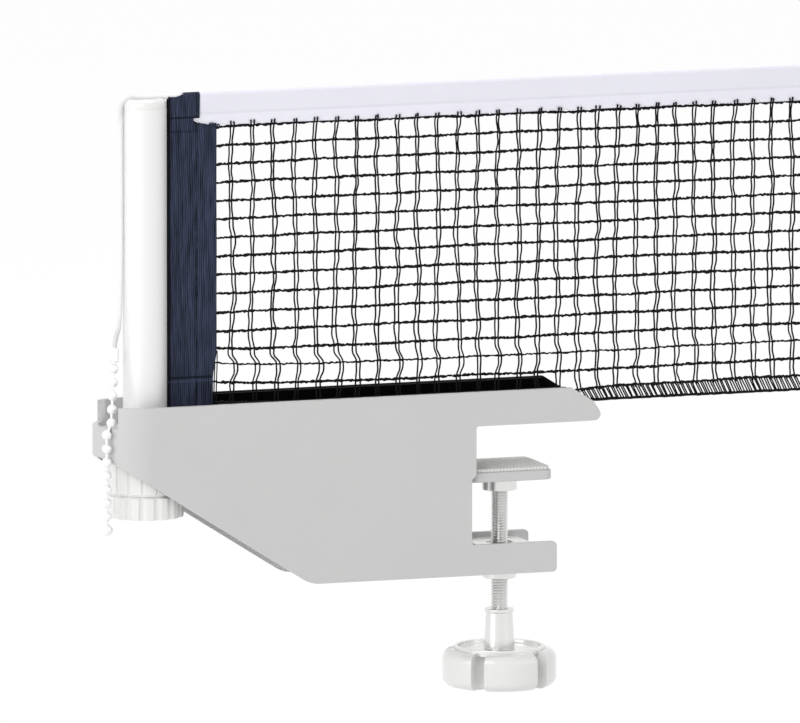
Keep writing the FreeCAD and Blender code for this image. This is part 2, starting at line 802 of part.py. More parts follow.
def make_plate(label, length, half_width, radius, low, thickness):
    """A flat plate with rounded corners, centred on the clamp screw."""
    body = new_body(label)
    plan = new_sketch(body, "XY_Plane", label + "_plan", low)
    draw_box(plan, "-%s / 2" % length, "%s / 2" % length, "-" + half_width, half_width)
    block = pad(body, plan, thickness)
    doc.recompute()
    box = block.Shape.BoundBox
    middle = (box.ZMin + box.ZMax) / 2
    corners = [(x, y, middle) for x in (box.XMin, box.XMax) for y in (box.YMin, box.YMax)]
    fillet(body, block, corners, radius, label + "_corners")
    return body


def make_pressure_plate():
    return make_plate("pressure_plate", "pressure_plate_length", PLATE_HALF, "pressure_corner_radius",
                      PLATE_FOOT, "pressure_plate_thickness")


def make_pressure_pad():
    """The rubber facing that presses on the underside of the table."""
    half_width = "(%s - pressure_pad_inset)" % PLATE_HALF
    radius = "pressure_corner_radius - pressure_pad_inset"
    return make_plate("pressure_pad", "(pressure_plate_length - 2 * pressure_pad_inset)", half_width, radius,
                      PLATE_TOP, "pressure_pad_thickness")


def make_swivel_cup():
    """The cup under the pressure plate in which the screw's end turns."""
    bore = "screw_diameter / 2 + thread_gap"
    shelf = SCREW_TOP + " - screw_lip - clip_thickness - clip_rise"
    foot = PLATE_FOOT + " - cup_depth"
    return turned_body("swivel_cup", [
        (bore, foot),
        ("cup_diameter / 2", foot),
        ("cup_diameter / 2", PLATE_FOOT),
        ("cup_recess_diameter / 2", PLATE_FOOT),
        ("cup_recess_diameter / 2", shelf),
        (bore, shelf),
    ])


def make_clamp_screw():
    outside = "screw_diameter / 2"
    groove = "screw_diameter / 2 - clip_seat_depth"
    clip = SCREW_TOP + " - screw_lip - clip_thickness"
    foot = "-star_top_drop - star_depth + screw_foot_margin"
    return turned_body("clamp_screw", [
        ("0", foot),
        (outside, foot),
        (outside, clip),
        (groove, clip),
        (groove, clip + " + clip_thickness"),
        (outside, clip + " + clip_thickness"),
        (outside, SCREW_TOP + " - screw_chamfer"),
        (outside + " - screw_chamfer", SCREW_TOP),
        ("0", SCREW_TOP),
    ])


def make_knob_hub():
    """The tapered metal hub above the star knob, with a ring at its top."""
    bore = "screw_diameter / 2 + press_gap"
    foot = DISH_BASE + " + dish_thickness"
    ring = "-hub_top_drop - hub_ring_depth"
    return turned_body("knob_hub", [
        (bore, foot),
        ("hub_foot_diameter / 2", foot),
        ("hub_top_diameter / 2", ring),
        ("hub_ring_diameter / 2", ring),
        ("hub_ring_diameter / 2", "-hub_top_drop"),
        (bore, "-hub_top_drop"),
    ])


def make_knob_dish():
    """The pressed dish sunk in the top of the star knob."""
    bore = "screw_diameter / 2 + press_gap"
    rim = "dish_diameter / 2 - dish_rim_width"
    return turned_body("knob_dish", [
        (bore, DISH_BASE),
        ("dish_diameter / 2", DISH_BASE),
        ("dish_diameter / 2", "-star_top_drop + dish_rim_height"),
        (rim, "-star_top_drop + dish_rim_height"),
        (rim, DISH_BASE + " + dish_thickness"),
        (bore, DISH_BASE + " + dish_thickness"),
    ])


def make_star_knob():
    """The moulded grip, a thick disc parted by gaps into wide lobes."""
    body = new_body("star_knob")
    foot = "(-star_top_drop - star_depth)"
    disc = new_sketch(body, "XY_Plane", "star_disc", foot)
    draw_circle(disc, "star_diameter")
    block = pad(body, disc, "star_depth")
    top = -size("star_top_drop")
    edges = [(0, 0, top), (0, 0, top - size("star_depth"))]
    fillet(body, block, edges, "star_edge_radius", "star_edges")
    recess = new_sketch(body, "XY_Plane", "dish_recess", DISH_BASE)
    draw_circle(recess, "dish_diameter + 2 * fit_gap")
    pocket(body, recess, "dish_sink + trim_margin", forward=True)
    bore = new_sketch(body, "XY_Plane", "star_bore", foot + " + screw_foot_margin")
    draw_circle(bore, "screw_diameter + 2 * press_gap")
    pocket(body, bore, "star_depth", forward=True)
    gap = new_sketch(body, "XY_Plane", "star_gap")
    end = new_sketch(body, "XY_Plane", "star_gap_end")
    for sketch in (gap, end):
        sketch.AttachmentOffset = FreeCAD.Placement(FreeCAD.Vector(), FreeCAD.Rotation(UP, 1))
        bind(sketch, AttachmentOffset__Rotation__Angle="star_turn_degrees * 1 deg")
    draw_box(gap, "star_gap_reach", "star_diameter", "-star_gap_width / 2", "star_gap_width / 2")
    draw_circle(end, "star_gap_width", "star_gap_reach", "0")
    cuts = [pocket(body, gap, midplane=True), pocket(body, end, midplane=True)]
    polar_pattern(body, cuts, "star_gap_count")
    return body


# The net

def make_band(label, along, side):
    """A fabric band at an end of the net, with its loop for the rod; side is the sign towards the net."""
    def place(text):
        return "%s(%s)" % (side, text)

    body = new_body(label, along)
    top = "cord_height + band_bead_diameter / 2"
    sheet_outline = new_sketch(body, "XZ_Plane", label + "_outline")
    draw_outline(sheet_outline, [
        (place(BAND_EDGE), "net_bottom"),
        (place(BAND_END), "net_bottom"),
        (place(BAND_END), BAND_SHOULDER),
        (place(BAND_STEP), BAND_SHOULDER),
        (place(BAND_STEP), "cord_height"),
        (place(BAND_EDGE), "cord_height"),
    ])
    pad(body, sheet_outline, "tape_thickness", midplane=True)
    tongue = new_sketch(body, "XZ_Plane", label + "_tongue")
    draw_outline(tongue, [
        (place(ROD_OFFSET), "rod_foot"),
        (place(BAND_EDGE), "rod_foot"),
        (place(BAND_EDGE), ROD_TOP),
        (place(ROD_OFFSET), ROD_TOP),
    ])
    pad(body, tongue, "tape_thickness", midplane=True)
    loop = new_sketch(body, "XY_Plane", label + "_loop", "rod_foot")
    draw_circle(loop, "rod_diameter + 2 * fit_gap + 2 * rod_loop_wall", place(ROD_OFFSET), "0")
    pad(body, loop, ROD_TOP + " - rod_foot")
    hole = new_sketch(body, "XY_Plane", label + "_loop_hole")
    draw_circle(hole, "rod_diameter + 2 * fit_gap", place(ROD_OFFSET), "0")
    pocket(body, hole, midplane=True)
    bead_start = place(BAND_EDGE) if side == "" else place(BAND_STEP)
    bead = new_sketch(body, "YZ_Plane", label + "_bead", bead_start)
    draw_circle(bead, "band_bead_diameter", "0", "cord_height")
    pad(body, bead, "band_top_width")
    cut_tunnel(body, label)
    return body


def cut_tunnel(body, label):
    """The tunnel that the cord runs in."""
    tunnel = new_sketch(body, "YZ_Plane", label + "_tunnel")
    draw_circle(tunnel, TUNNEL, "0", "cord_height")
    pocket(body, tunnel, midplane=True)


def make_top_tape():
    """The white tape folded over the top cord, stepped at both ends to meet the bands."""
    body = new_body("net_top_tape", MESH_START)
    outline = new_sketch(body, "XZ_Plane", "tape_outline")
    step = "(band_width - band_top_width)"
    draw_outline(outline, [
        ("0", TAPE_BOTTOM),
        ("mesh_length", TAPE_BOTTOM),
        ("mesh_length", BAND_SHOULDER),
        ("mesh_length + " + step, BAND_SHOULDER),
        ("mesh_length + " + step, "cord_height"),
        ("-" + step, "cord_height"),
        ("-" + step, BAND_SHOULDER),
        ("0", BAND_SHOULDER),
    ])
    pad(body, outline, "tape_thickness", midplane=True)
    bead = new_sketch(body, "YZ_Plane", "tape_bead", "-" + step)
    draw_circle(bead, "tape_bead_diameter", "0", "cord_height")
    pad(body, bead, "mesh_length + 2 * " + step)
    cut_tunnel(body, "tape")
    return body


def make_net_hem():
    return plain_box("net_hem", MESH_START, "(%s + mesh_length)" % MESH_START, "hem_thickness",
                     "net_bottom", MESH_FOOT)


def make_net_mesh():
    """The net as one holed face: every row of the real net, and columns a step coarser than real."""
    low = size("net_bottom") + size("hem_height")
    height = size("cord_height") - size("tape_width") - low
    length = size("mesh_length")
    row_bar = size("mesh_row_bar")
    column_bar = size("mesh_column_bar")
    rows = round((height - row_bar) / size("mesh_row_pitch"))
    columns = int(size("mesh_column_count"))
    row_step = (height - row_bar) / rows
    column_step = (length - column_bar) / columns
    wires = [rectangle_wire(0, length, low, low + height)]
    for row in range(rows):
        foot = low + row_bar + row * row_step
        head = foot + row_step - row_bar
        for column in range(columns):
            left = column_bar + column * column_step
            wires.append(rectangle_wire(left, left + column_step - column_bar, foot, head))
    face = Part.makeFace(wires, "Part::FaceMakerBullseye")
    thickness = size("mesh_thickness")
    mesh = set_shape("net_mesh", face.extrude(FreeCAD.Vector(0, thickness, 0)))
    bind(mesh, Placement__Base__x=MESH_START, Placement__Base__y="-mesh_thickness / 2")
    return mesh


def rectangle_wire(left, right, low, high):
    corners = [(left, low), (right, low), (right, high), (left, high), (left, low)]
    return Part.makePolygon([FreeCAD.Vector(along, 0, up) for along, up in corners])


# The tension cord and its ball chain

def chain_point(radius, height):
    """A point of the chain at a distance from the axis of the bracket's bend."""
    angle = math.radians(size("chain_angle_degrees"))
    return FreeCAD.Vector(-size("bend_back") - radius * math.cos(angle), -radius * math.sin(angle), height)


def chain_direction(saddle):
    return (CHAIN_AIM - saddle).normalize()


def chain_centres():
    """The ball centres from the top down: a straight stretch, one ball on the notch, then a hanging end."""
    pitch = size("ball_pitch")
    outer_face = size("bracket_width") / 2
    clear = size("ball_diameter") / 2 + size("chain_gap")
    saddle_radius = outer_face - size("chain_inset")
    saddle = chain_point(saddle_radius, size("notch_floor") + clear)
    upward = chain_direction(saddle)
    inner = [saddle + upward * pitch * step for step in range(int(size("inner_ball_count")))]
    hang_radius = outer_face + clear
    drop = math.sqrt(pitch ** 2 - (hang_radius - saddle_radius) ** 2)
    first_height = saddle.z - drop
    steps = range(int(size("outer_ball_count")))
    outer = [chain_point(hang_radius, first_height - pitch * step) for step in steps]
    return list(reversed(inner)) + outer


def make_chain_balls(centres):
    balls = [Part.makeSphere(size("ball_diameter") / 2, centre) for centre in centres]
    return set_shape("chain_balls", Part.makeCompound(balls))


def link_between(start, end, start_radius, end_radius):
    """A short wire whose ends are cut to the balls that it joins."""
    span = end - start
    wire = Part.makeCylinder(size("link_diameter") / 2, span.Length, start, span)
    return wire.cut(Part.makeSphere(start_radius, start)).cut(Part.makeSphere(end_radius, end))


def make_chain_links(centres, end_centre):
    """The wires between the balls, and the one from the top ball to the connector."""
    ball = size("ball_diameter") / 2
    links = [link_between(upper, lower, ball, ball) for upper, lower in zip(centres, centres[1:])]
    links.append(link_between(centres[-1], end_centre, ball, size("end_ball_diameter") / 2))
    upward = (centres[0] - centres[1]).normalize()
    top = centres[0] + upward * (ball + size("connector_link"))
    stub = Part.makeCylinder(size("link_diameter") / 2, (top - centres[0]).Length, centres[0], upward)
    links.append(stub.cut(Part.makeSphere(ball, centres[0])))
    return set_shape("chain_links", Part.makeCompound(links))


def make_connector(foot, upward):
    barrel = Part.makeCylinder(size("connector_diameter") / 2, size("connector_length"), foot, upward)
    return set_shape("chain_connector", barrel)


def rounded_route(points, fixed_radii):
    """Straight runs joined by tangent arcs; a corner takes its own radius or the largest that fits."""
    edges = []
    radii = []
    start = points[0]
    for index in range(1, len(points) - 1):
        corner = points[index]
        back = points[index - 1] - corner
        ahead = points[index + 1] - corner
        half_turn = (math.pi - back.getAngle(ahead)) / 2
        radius = fixed_radii.get(index, 0.45 * min(back.Length, ahead.Length) / math.tan(half_turn))
        setback = radius * math.tan(half_turn)
        first = corner + back.normalize() * setback
        last = corner + ahead.normalize() * setback
        inward = (back + ahead).normalize()
        middle = corner + inward * (radius / math.cos(half_turn) - radius)
        edges.append(Part.LineSegment(start, first).toShape())
        edges.append(Part.Arc(first, middle, last).toShape())
        radii.append(radius)
        start = last
    edges.append(Part.LineSegment(start, points[-1]).toShape())
    return Part.Wire(edges), radii


def make_tension_cord(connector_top, upward):
    """The cord through the tape's tunnel, over the post's cap and down its side to the ball chain."""
    height = size("cord_height")
    aside = size("post_diameter") / 2 + size("cord_side_gap") + size("cord_diameter") / 2
    beside_post = -size("post_back") - aside
    far_edge = (-size("post_back") + size("post_diameter") / 2 + size("band_gap")
                + 2 * size("band_width") + size("mesh_length"))
    points = [
        FreeCAD.Vector(far_edge + size("stop_length") + size("cord_tail"), 0, height),
        FreeCAD.Vector(beside_post, 0, height),
        FreeCAD.Vector(beside_post, 0, CORD_LEAVES_POST_HEIGHT),
        connector_top + upward * size("connector_lead"),
        connector_top,
    ]
    route, radii = rounded_route(points, {1: size("cord_bend_radius")})
    section = Part.Circle(points[0], FreeCAD.Vector(1, 0, 0), size("cord_diameter") / 2).toShape()
    cord = route.makePipeShell([Part.Wire([section])], True, False)
    expected = math.pi * size("cord_diameter") ** 2 / 4 * route.Length
    print("cord length %.1f, radii %s, volume ratio %.4f"
          % (route.Length, [round(radius, 1) for radius in radii], cord.Volume / expected))
    return set_shape("tension_cord", cord)


def make_cord_stop():
    """The bead that holds the cord at the net's far edge."""
    body = new_body("cord_stop", "%s - post_diameter / 2 - band_gap" % FAR_POST)
    sketch = new_sketch(body, "YZ_Plane", "stop_ring")
    draw_circle(sketch, "stop_diameter", "0", "cord_height")
    draw_circle(sketch, "cord_diameter + 2 * press_gap", "0", "cord_height")
    pad(body, sketch, "stop_length")
    return body


def make_cord_pieces():
    centres = chain_centres()
    end_centre = centres[-1] - UP * size("ball_pitch")
    upward = (centres[0] - centres[1]).normalize()
    foot = centres[0] + upward * (size("ball_diameter") / 2 + size("connector_link"))
    top = foot + upward * size("connector_length")
    end_ball = set_shape("chain_end", Part.makeSphere(size("end_ball_diameter") / 2, end_centre))
    return [
        make_tension_cord(top, upward),
        make_cord_stop(),
        make_connector(foot, upward),
        make_chain_balls(centres),
        make_chain_links(centres, end_centre),
        end_ball,
    ]


def make_all():
    """Every piece, in the order in which the clamp is put together."""
    pieces = [
        make_clamp_bracket(),
        make_jaw_insert(),
        make_table_pad(),
        make_lower_bridge(),
        make_screw_nut(),
        make_post_holder(),
        make_holder_screws(),
        make_guide_key(),
        make_thrust_washer(),
        make_height_knob(),
        make_height_screw(),
        clip_body("height_clip", "height_screw_diameter", "(%s + clip_rise)" % HOLDER_BASE, "-post_back"),
        make_post_tube(),
        make_post_nut(),
        make_post_pins(),
        make_post_cap(),
        make_pressure_plate(),
        make_pressure_pad(),
        make_swivel_cup(),
        make_clamp_screw(),
        clip_body("screw_clip", "screw_diameter", "(%s - screw_lip - clip_thickness)" % SCREW_TOP),
        make_knob_hub(),
        make_knob_dish(),
        make_star_knob(),
        make_net_rod("net_rod", "-post_back + " + ROD_OFFSET),
        make_band("net_side_band", "-post_back", ""),
        make_net_mesh(),
        make_net_hem(),
        make_top_tape(),
        make_band("net_far_band", FAR_POST, "-"),
        make_net_rod("far_rod", "%s - %s" % (FAR_POST, ROD_OFFSET)),
    ]
    return pieces + make_cord_pieces()


pieces = make_all()
doc.recompute()
for item in doc.Objects:
    if "Invalid" in item.State or "Error" in item.State:
        raise RuntimeError("%s failed: %s" % (item.Name, item.State))
for piece in pieces:
    if piece.Shape.isNull() or not piece.Shape.isValid():
        raise RuntimeError("%s has no valid shape" % piece.Label)
os.makedirs("parts", exist_ok=True)
for piece in pieces:
    piece.Shape.exportStep("parts/%s.step" % piece.Label)
    box = piece.Shape.BoundBox
    print("%-16s %d solids, volume %8.1f, X %.2f to %.2f, Y %.2f to %.2f, Z %.2f to %.2f"
          % (piece.Label, len(piece.Shape.Solids), piece.Shape.Volume,
             box.XMin, box.XMax, box.YMin, box.YMax, box.ZMin, box.ZMax))
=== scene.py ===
import json
import math
import random

import bmesh
import bpy
from mathutils import Matrix, Vector, noise


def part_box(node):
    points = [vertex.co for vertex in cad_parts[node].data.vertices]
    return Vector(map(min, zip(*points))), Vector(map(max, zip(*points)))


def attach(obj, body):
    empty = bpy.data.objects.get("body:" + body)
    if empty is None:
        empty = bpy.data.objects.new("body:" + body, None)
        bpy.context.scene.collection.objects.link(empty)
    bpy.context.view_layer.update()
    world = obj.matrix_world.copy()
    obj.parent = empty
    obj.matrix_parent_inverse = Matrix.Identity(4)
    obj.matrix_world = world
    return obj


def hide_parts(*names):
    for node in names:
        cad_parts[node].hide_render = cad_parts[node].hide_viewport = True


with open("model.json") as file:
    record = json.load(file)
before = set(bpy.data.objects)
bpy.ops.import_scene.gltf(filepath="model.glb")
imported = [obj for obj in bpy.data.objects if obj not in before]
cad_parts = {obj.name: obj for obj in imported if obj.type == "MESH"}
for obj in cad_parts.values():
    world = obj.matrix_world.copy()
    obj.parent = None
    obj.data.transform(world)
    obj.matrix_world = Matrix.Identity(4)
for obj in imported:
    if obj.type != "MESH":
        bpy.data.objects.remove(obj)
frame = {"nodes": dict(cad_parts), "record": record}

bl_info = {
    "name": "Table Tennis Net Clamp",
    "version": (1, 0, 0),
    "blender": (4, 5, 0),
    "location": "3D View > Sidebar > Net Clamp",
    "description": "Dresses the net clamp: netting, tape, bands, cord, chain, threads and finishes",
    "category": "Object",
}

# Places in metres. X runs along the net towards the table, Y = 0 is the net's plane and Z = 0 the table top.
POST_X = -0.17025
FAR_POST_X = 0.18245
ARM_BACK = -0.1455
ARM_NOSE = 0.042
LEG_INSIDE = 0.0179
CHANNEL_FLOOR = 0.0039
HOLDER_RADIUS = 0.0165
HOLDER_HEAD = -0.0072
HOLDER_FOOT = -0.025
KNOB_TOP = -0.0258

# The tension cord, from its stop at the far end of the net to the chain's connector.
CORD_HEIGHT = 0.155
CORD_LENGTH = 0.474
CORD_ROUTE = [
    (0.17955, 0, 0.155),
    (-0.1685, 0, 0.155),
    (-0.18165, 0, 0.155),
    (-0.18165, 0, 0.1418),
    (-0.18165, 0, 0.053),
    (-0.184964, -0.001075, 0.045297),
    (-0.185493, -0.002114, 0.041470),
]

# Reaches at both ends of the net, each from the nearer post's axis.
ROD_PLACE = 0.0045
BAND_EDGE = 0.0109
NOTCH_EDGE = 0.0229
UPRIGHT_SEAM = 0.0244
SHOULDER_BEND = 0.0253
BAND_STEP = 0.0259
BAND_END = 0.0341
NET_LEFT = POST_X + BAND_END
NET_RIGHT = FAR_POST_X - BAND_END

# Heights on the net, from its foot up.
HEM_FOOT = 0.0065
ROD_FOOT = 0.008
NET_FOOT = 0.0125
LOW_SEAM = 0.0265
COVER_FOOT = 0.1388
NET_HEAD = 0.1398
TAPE_FOOT = 0.1405
SHOULDER_TOP = 0.144
BAND_SEAM = 0.1452
ROD_HEAD = 0.1455
TAPE_SEAM = 0.1464
BULGE_FOOT = 0.1495

# Radii of the folds round the cord and of the loops round the rods, and the flat height of a sleeve.
TAPE_FOLD = 0.0014
COVER_FOLD = 0.0015
ROD_LOOP = 0.003
SLEEVE_HEIGHT = 0.139

# The middle of the first upright pair, and the course of the net's own edge beside the band's narrowed foot.
FIRST_PAIR = -0.1285
EDGE_COURSE = [(-0.1367, 0.038), (-0.1366, 0.032), (-0.1371, 0.024), (-0.1372, NET_FOOT)]

# The camera stands far off with a long lens, so that its lines run as nearly level as the photograph's.
CAMERA_DISTANCE = 12.0
CAMERA_LENS_PER_METRE = 99.124
CAMERA_TURN = math.radians(-19.37)
CAMERA_RISE = math.radians(8.06)
CAMERA_AIM = (-0.04791, 0, 0.02889)

# Name, place, side in metres and power in watts of the lamps, which all point at the origin.
LAMPS = [
    ("key_lamp", (-1.6, -1.5, 1.3), 1.4, 16),
    ("side_lamp", (-1.9, -0.5, 0.4), 1.2, 8),
    ("fill_lamp", (1.6, -1.9, 0.9), 1.6, 6),
    ("top_lamp", (0.1, 0.6, 2.3), 1.5, 20),
]
WORLD_LIGHT = 0.6
FLOOR_HEIGHT = -0.152
FLOOR_WHITE = 1.02
FLOOR_WHITE_SHARE = 0.9
WHITE = (1, 1, 1, 1)

# Edges sharper than these many degrees stay sharp in the shading, or are rounded.
SHARP_ANGLE = 40
ROUNDED_ANGLE = 35


def length_size(name, description, default):
    """A size in metres that a user may change."""
    return bpy.props.FloatProperty(
        name=name, description=description, default=default,
        min=0, subtype="DISTANCE", unit="LENGTH", precision=5,
    )


def colour_choice(name, description, default):
    """A colour that a user may change."""
    return bpy.props.FloatVectorProperty(
        name=name, description=description, default=default, size=3, min=0, max=1, subtype="COLOR"
    )


class NetClampSizes(bpy.types.PropertyGroup):
    """Sizes of the pieces that are made here."""

    cord_diameter: length_size("Cord", "Diameter of the tension cord", 0.0022)
    row_thread: length_size("Row thread", "Diameter of the net's level threads", 0.0013)
    pair_thread: length_size("Pair thread", "Diameter of each thread of the upright pairs", 0.0008)
    hem_thread: length_size("Hem thread", "Diameter of the hem's slanted threads", 0.0007)
    pair_gap: length_size("Pair gap", "Widest usual distance between the two threads of a pair", 0.0021)
    pair_step: length_size("Pair spacing", "Distance between the first two upright pairs", 0.00998)
    pair_tightening: length_size("Pair tightening", "How much each next spacing is less", 0.000025)
    row_count: bpy.props.IntProperty(name="Rows", description="Number of level threads", default=16, min=2)
    pair_count: bpy.props.IntProperty(name="Pairs", description="Number of upright pairs", default=29, min=2)
    hem_spacing: length_size("Hem spacing", "Distance between the slanted threads of one layer", 0.0024)
    rib_pitch: length_size("Rib pitch", "Distance between the ribs of the bands", 0.00095)
    screw_pitch: length_size("Screw pitch", "Rise of the clamp screw in one turn", 0.00125)


class NetClampColours(bpy.types.PropertyGroup):
    """Colours of the finishes."""

    grey_paint: colour_choice("Grey paint", "Bracket", (0.58, 0.574, 0.572))
    black_plastic: colour_choice("Black plastic", "Channel between the bracket's legs", (0.003, 0.003, 0.0035))
    pale_rubber: colour_choice("Pale rubber", "Pads that touch the table", (0.8, 0.8, 0.79))
    plating: colour_choice("Plating", "Pressure plate, screws, nuts, dish and hub", (0.79, 0.79, 0.78))
    beads: colour_choice("Beads", "Ball chain and its connector", (0.92, 0.92, 0.92))
    pale_plastic: colour_choice("Pale plastic", "Knobs, cap and holder", (0.8, 0.8, 0.79))
    aluminium: colour_choice("Aluminium", "Post", (0.845, 0.84, 0.84))
    navy: colour_choice("Navy", "Bands at the ends of the net", (0.03, 0.037, 0.066))
    netting: colour_choice("Netting", "Threads of the net", (0.006, 0.0065, 0.008))
    tape: colour_choice("Tape", "White tape along the net's top", (0.875, 0.87, 0.955))
    cord: colour_choice("Cord", "Tension cord", (0.93, 0.93, 0.93))


class Strand:
    """A node's output, on which arithmetic adds Math nodes."""

    def __init__(self, network, socket):
        self.network = network
        self.socket = socket

    def math(self, operation, *values):
        return self.network.node("ShaderNodeMath", {"operation": operation}, dict(enumerate(values)))

    def __add__(self, other):
        return self.math("ADD", self, other)

    __radd__ = __add__

    def __sub__(self, other):
        return self.math("SUBTRACT", self, other)

    def __rsub__(self, other):
        return self.math("SUBTRACT", other, self)

    def __mul__(self, other):
        return self.math("MULTIPLY", self, other)

    __rmul__ = __mul__

    def __lt__(self, other):
        return self.math("LESS_THAN", self, other)

    def __abs__(self):
        return self.math("ABSOLUTE", self)

    def near(self, place, width):
        """1 where this coordinate is within width of a place, else 0."""
        return self.math("COMPARE", self, place, width)

    def ridges(self, pitch):
        """Even ridges from 0 to 1 along this coordinate."""
        return 0.5 + 0.5 * self.math("SINE", self * (2 * math.pi / pitch))


class Network:
    """The nodes of a material or of the world."""

    def __init__(self, tree):
        self.tree = tree

    def node(self, kind, settings, sockets, output=0):
        """Adds a node: its settings first, then the values or links of its sockets."""
        made = self.tree.nodes.new(kind)
        for name, value in settings.items():
            setattr(made, name, value)
        for key, value in sockets.items():
            if isinstance(value, Strand):
                self.tree.links.new(value.socket, made.inputs[key])
            else:
                made.inputs[key].default_value = value
        return Strand(self, made.outputs[output])

    def in_view(self):
        """1 for what the camera sees, also in a mirror or through glass, and 0 for light on the object."""
        camera, mirror, glass = [
            self.node("ShaderNodeLightPath", {}, {}, ray)
            for ray in ("Is Camera Ray", "Is Glossy Ray", "Is Transmission Ray")
        ]
        return camera + mirror + glass

    def end(self, output, share, first, second):
        """Shows a mix of two shaders: first where the share is 0 and second where it is 1."""
        mixed = self.node("ShaderNodeMixShader", {}, {0: share, 1: first, 2: second})
        self.tree.links.new(mixed.socket, self.tree.nodes[output].inputs["Surface"])


class Finish(Network):
    """A material in the making: one Principled shader and the nodes that feed it."""

    def __init__(self, name, colour, roughness, fixed=None):
        self.material = bpy.data.materials.new(name)
        self.material.use_nodes = True
        super().__init__(self.material.node_tree)
        self.shader = self.tree.nodes["Principled BSDF"]
        self.colour = (*colour, 1)
        settings = {"Base Color": self.colour, "Roughness": roughness, **(fixed or {})}
        for socket, value in settings.items():
            self.shader.inputs[socket].default_value = value

    def place(self):
        return self.node("ShaderNodeTexCoord", {}, {}, "Object")

    def axis(self, letter):
        """One coordinate of the place on the piece, in metres."""
        return self.node("ShaderNodeSeparateXYZ", {}, {0: self.place()}, letter)

    def grain(self, size, detail=3.0, stretch=(1, 1, 1)):
        """Noise whose grains are about this size in metres, longer where stretch is above 1."""
        scale = tuple(1 / part for part in stretch)
        place = self.node("ShaderNodeMapping", {}, {"Vector": self.place(), "Scale": scale})
        return self.node("ShaderNodeTexNoise", {}, {"Vector": place, "Scale": 1 / size, "Detail": detail})

    def blend(self, mask, first, second):
        """One colour where the mask is 0 and the other where it is 1."""
        return self.node("ShaderNodeMix", {"data_type": "RGBA"}, {0: mask, 6: first, 7: second}, 2)

    def shades(self, mask, low, high):
        """The finish's own colour, times low where the mask is 0 and times high where it is 1."""
        first, second = [tuple(part * level for part in self.colour[:3]) + (1,) for level in (low, high)]
        self.feed("Base Color", self.blend(mask, first, second))

    def feed(self, socket, strand):
        self.tree.links.new(strand.socket, self.shader.inputs[socket])

    def relief(self, height, depth, strength=1.0):
        """A bump of this depth in metres."""
        bump = self.node("ShaderNodeBump", {}, {"Height": height, "Distance": depth, "Strength": strength})
        self.feed("Normal", bump)


def grey_paint(colours):
    """Paint with a fine peel and faint clouds."""
    finish = Finish("grey_paint", colours.grey_paint, 0.38)
    peel = finish.grain(0.0011)
    clouds = finish.grain(0.03)
    finish.shades(clouds, 0.97, 1.03)
    finish.feed("Roughness", 0.34 + 0.1 * peel)
    finish.relief(peel, 0.00003, 0.6)
    return finish.material


def moulded_black(colours):
    """Deep black with a fine spark-eroded grain."""
    finish = Finish("moulded_black", colours.black_plastic, 0.5, {"Specular IOR Level": 0.02})
    grain = finish.grain(0.0006)
    finish.shades(grain, 0.6, 1.6)
    finish.feed("Roughness", 0.42 + 0.16 * grain)
    finish.relief(grain, 0.00005, 0.8)
    return finish.material


def pale_rubber(colours):
    """Fine ribs across the pad, so that it grips."""
    finish = Finish("pale_rubber", colours.pale_rubber, 0.8)
    ribs = finish.axis("X").ridges(0.0016)
    finish.shades(ribs, 0.86, 1.0)
    finish.feed("Roughness", 0.7 + 0.15 * finish.grain(0.001))
    finish.relief(ribs, 0.0003, 0.8)
    return finish.material


def plating(colours):
    finish = Finish("plating", colours.plating, 0.26, {"Metallic": 0.9})
    finish.shades(finish.grain(0.012), 0.95, 1.03)
    finish.feed("Roughness", 0.2 + 0.1 * finish.grain(0.005))
    return finish.material


def bead_plating(colours):
    finish = Finish("bead_plating", colours.beads, 0.35, {"Metallic": 0.4})
    finish.shades(finish.grain(0.008), 0.96, 1.02)
    finish.feed("Roughness", 0.3 + 0.12 * finish.grain(0.003))
    return finish.material


def pale_plastic(colours):
    finish = Finish("pale_plastic", colours.pale_plastic, 0.16, {"Coat Weight": 0.4, "Coat Roughness": 0.06})
    mould = finish.grain(0.004)
    finish.shades(finish.grain(0.025), 0.96, 1.03)
    finish.feed("Roughness", 0.14 + 0.08 * mould)
    finish.relief(mould, 0.00004, 0.5)
    return finish.material


def drawn_aluminium(colours):
    """Fine lines along the tube, from the die that it was drawn through."""
    finish = Finish("drawn_aluminium", colours.aluminium, 0.42, {"Metallic": 0.2})
    lines = finish.grain(0.0005, 4.0, (1, 1, 60))
    finish.shades(finish.grain(0.02, 3.0, (1, 1, 8)), 0.97, 1.02)
    finish.feed("Roughness", 0.36 + 0.12 * lines)
    finish.relief(lines, 0.00002, 0.5)
    return finish.material


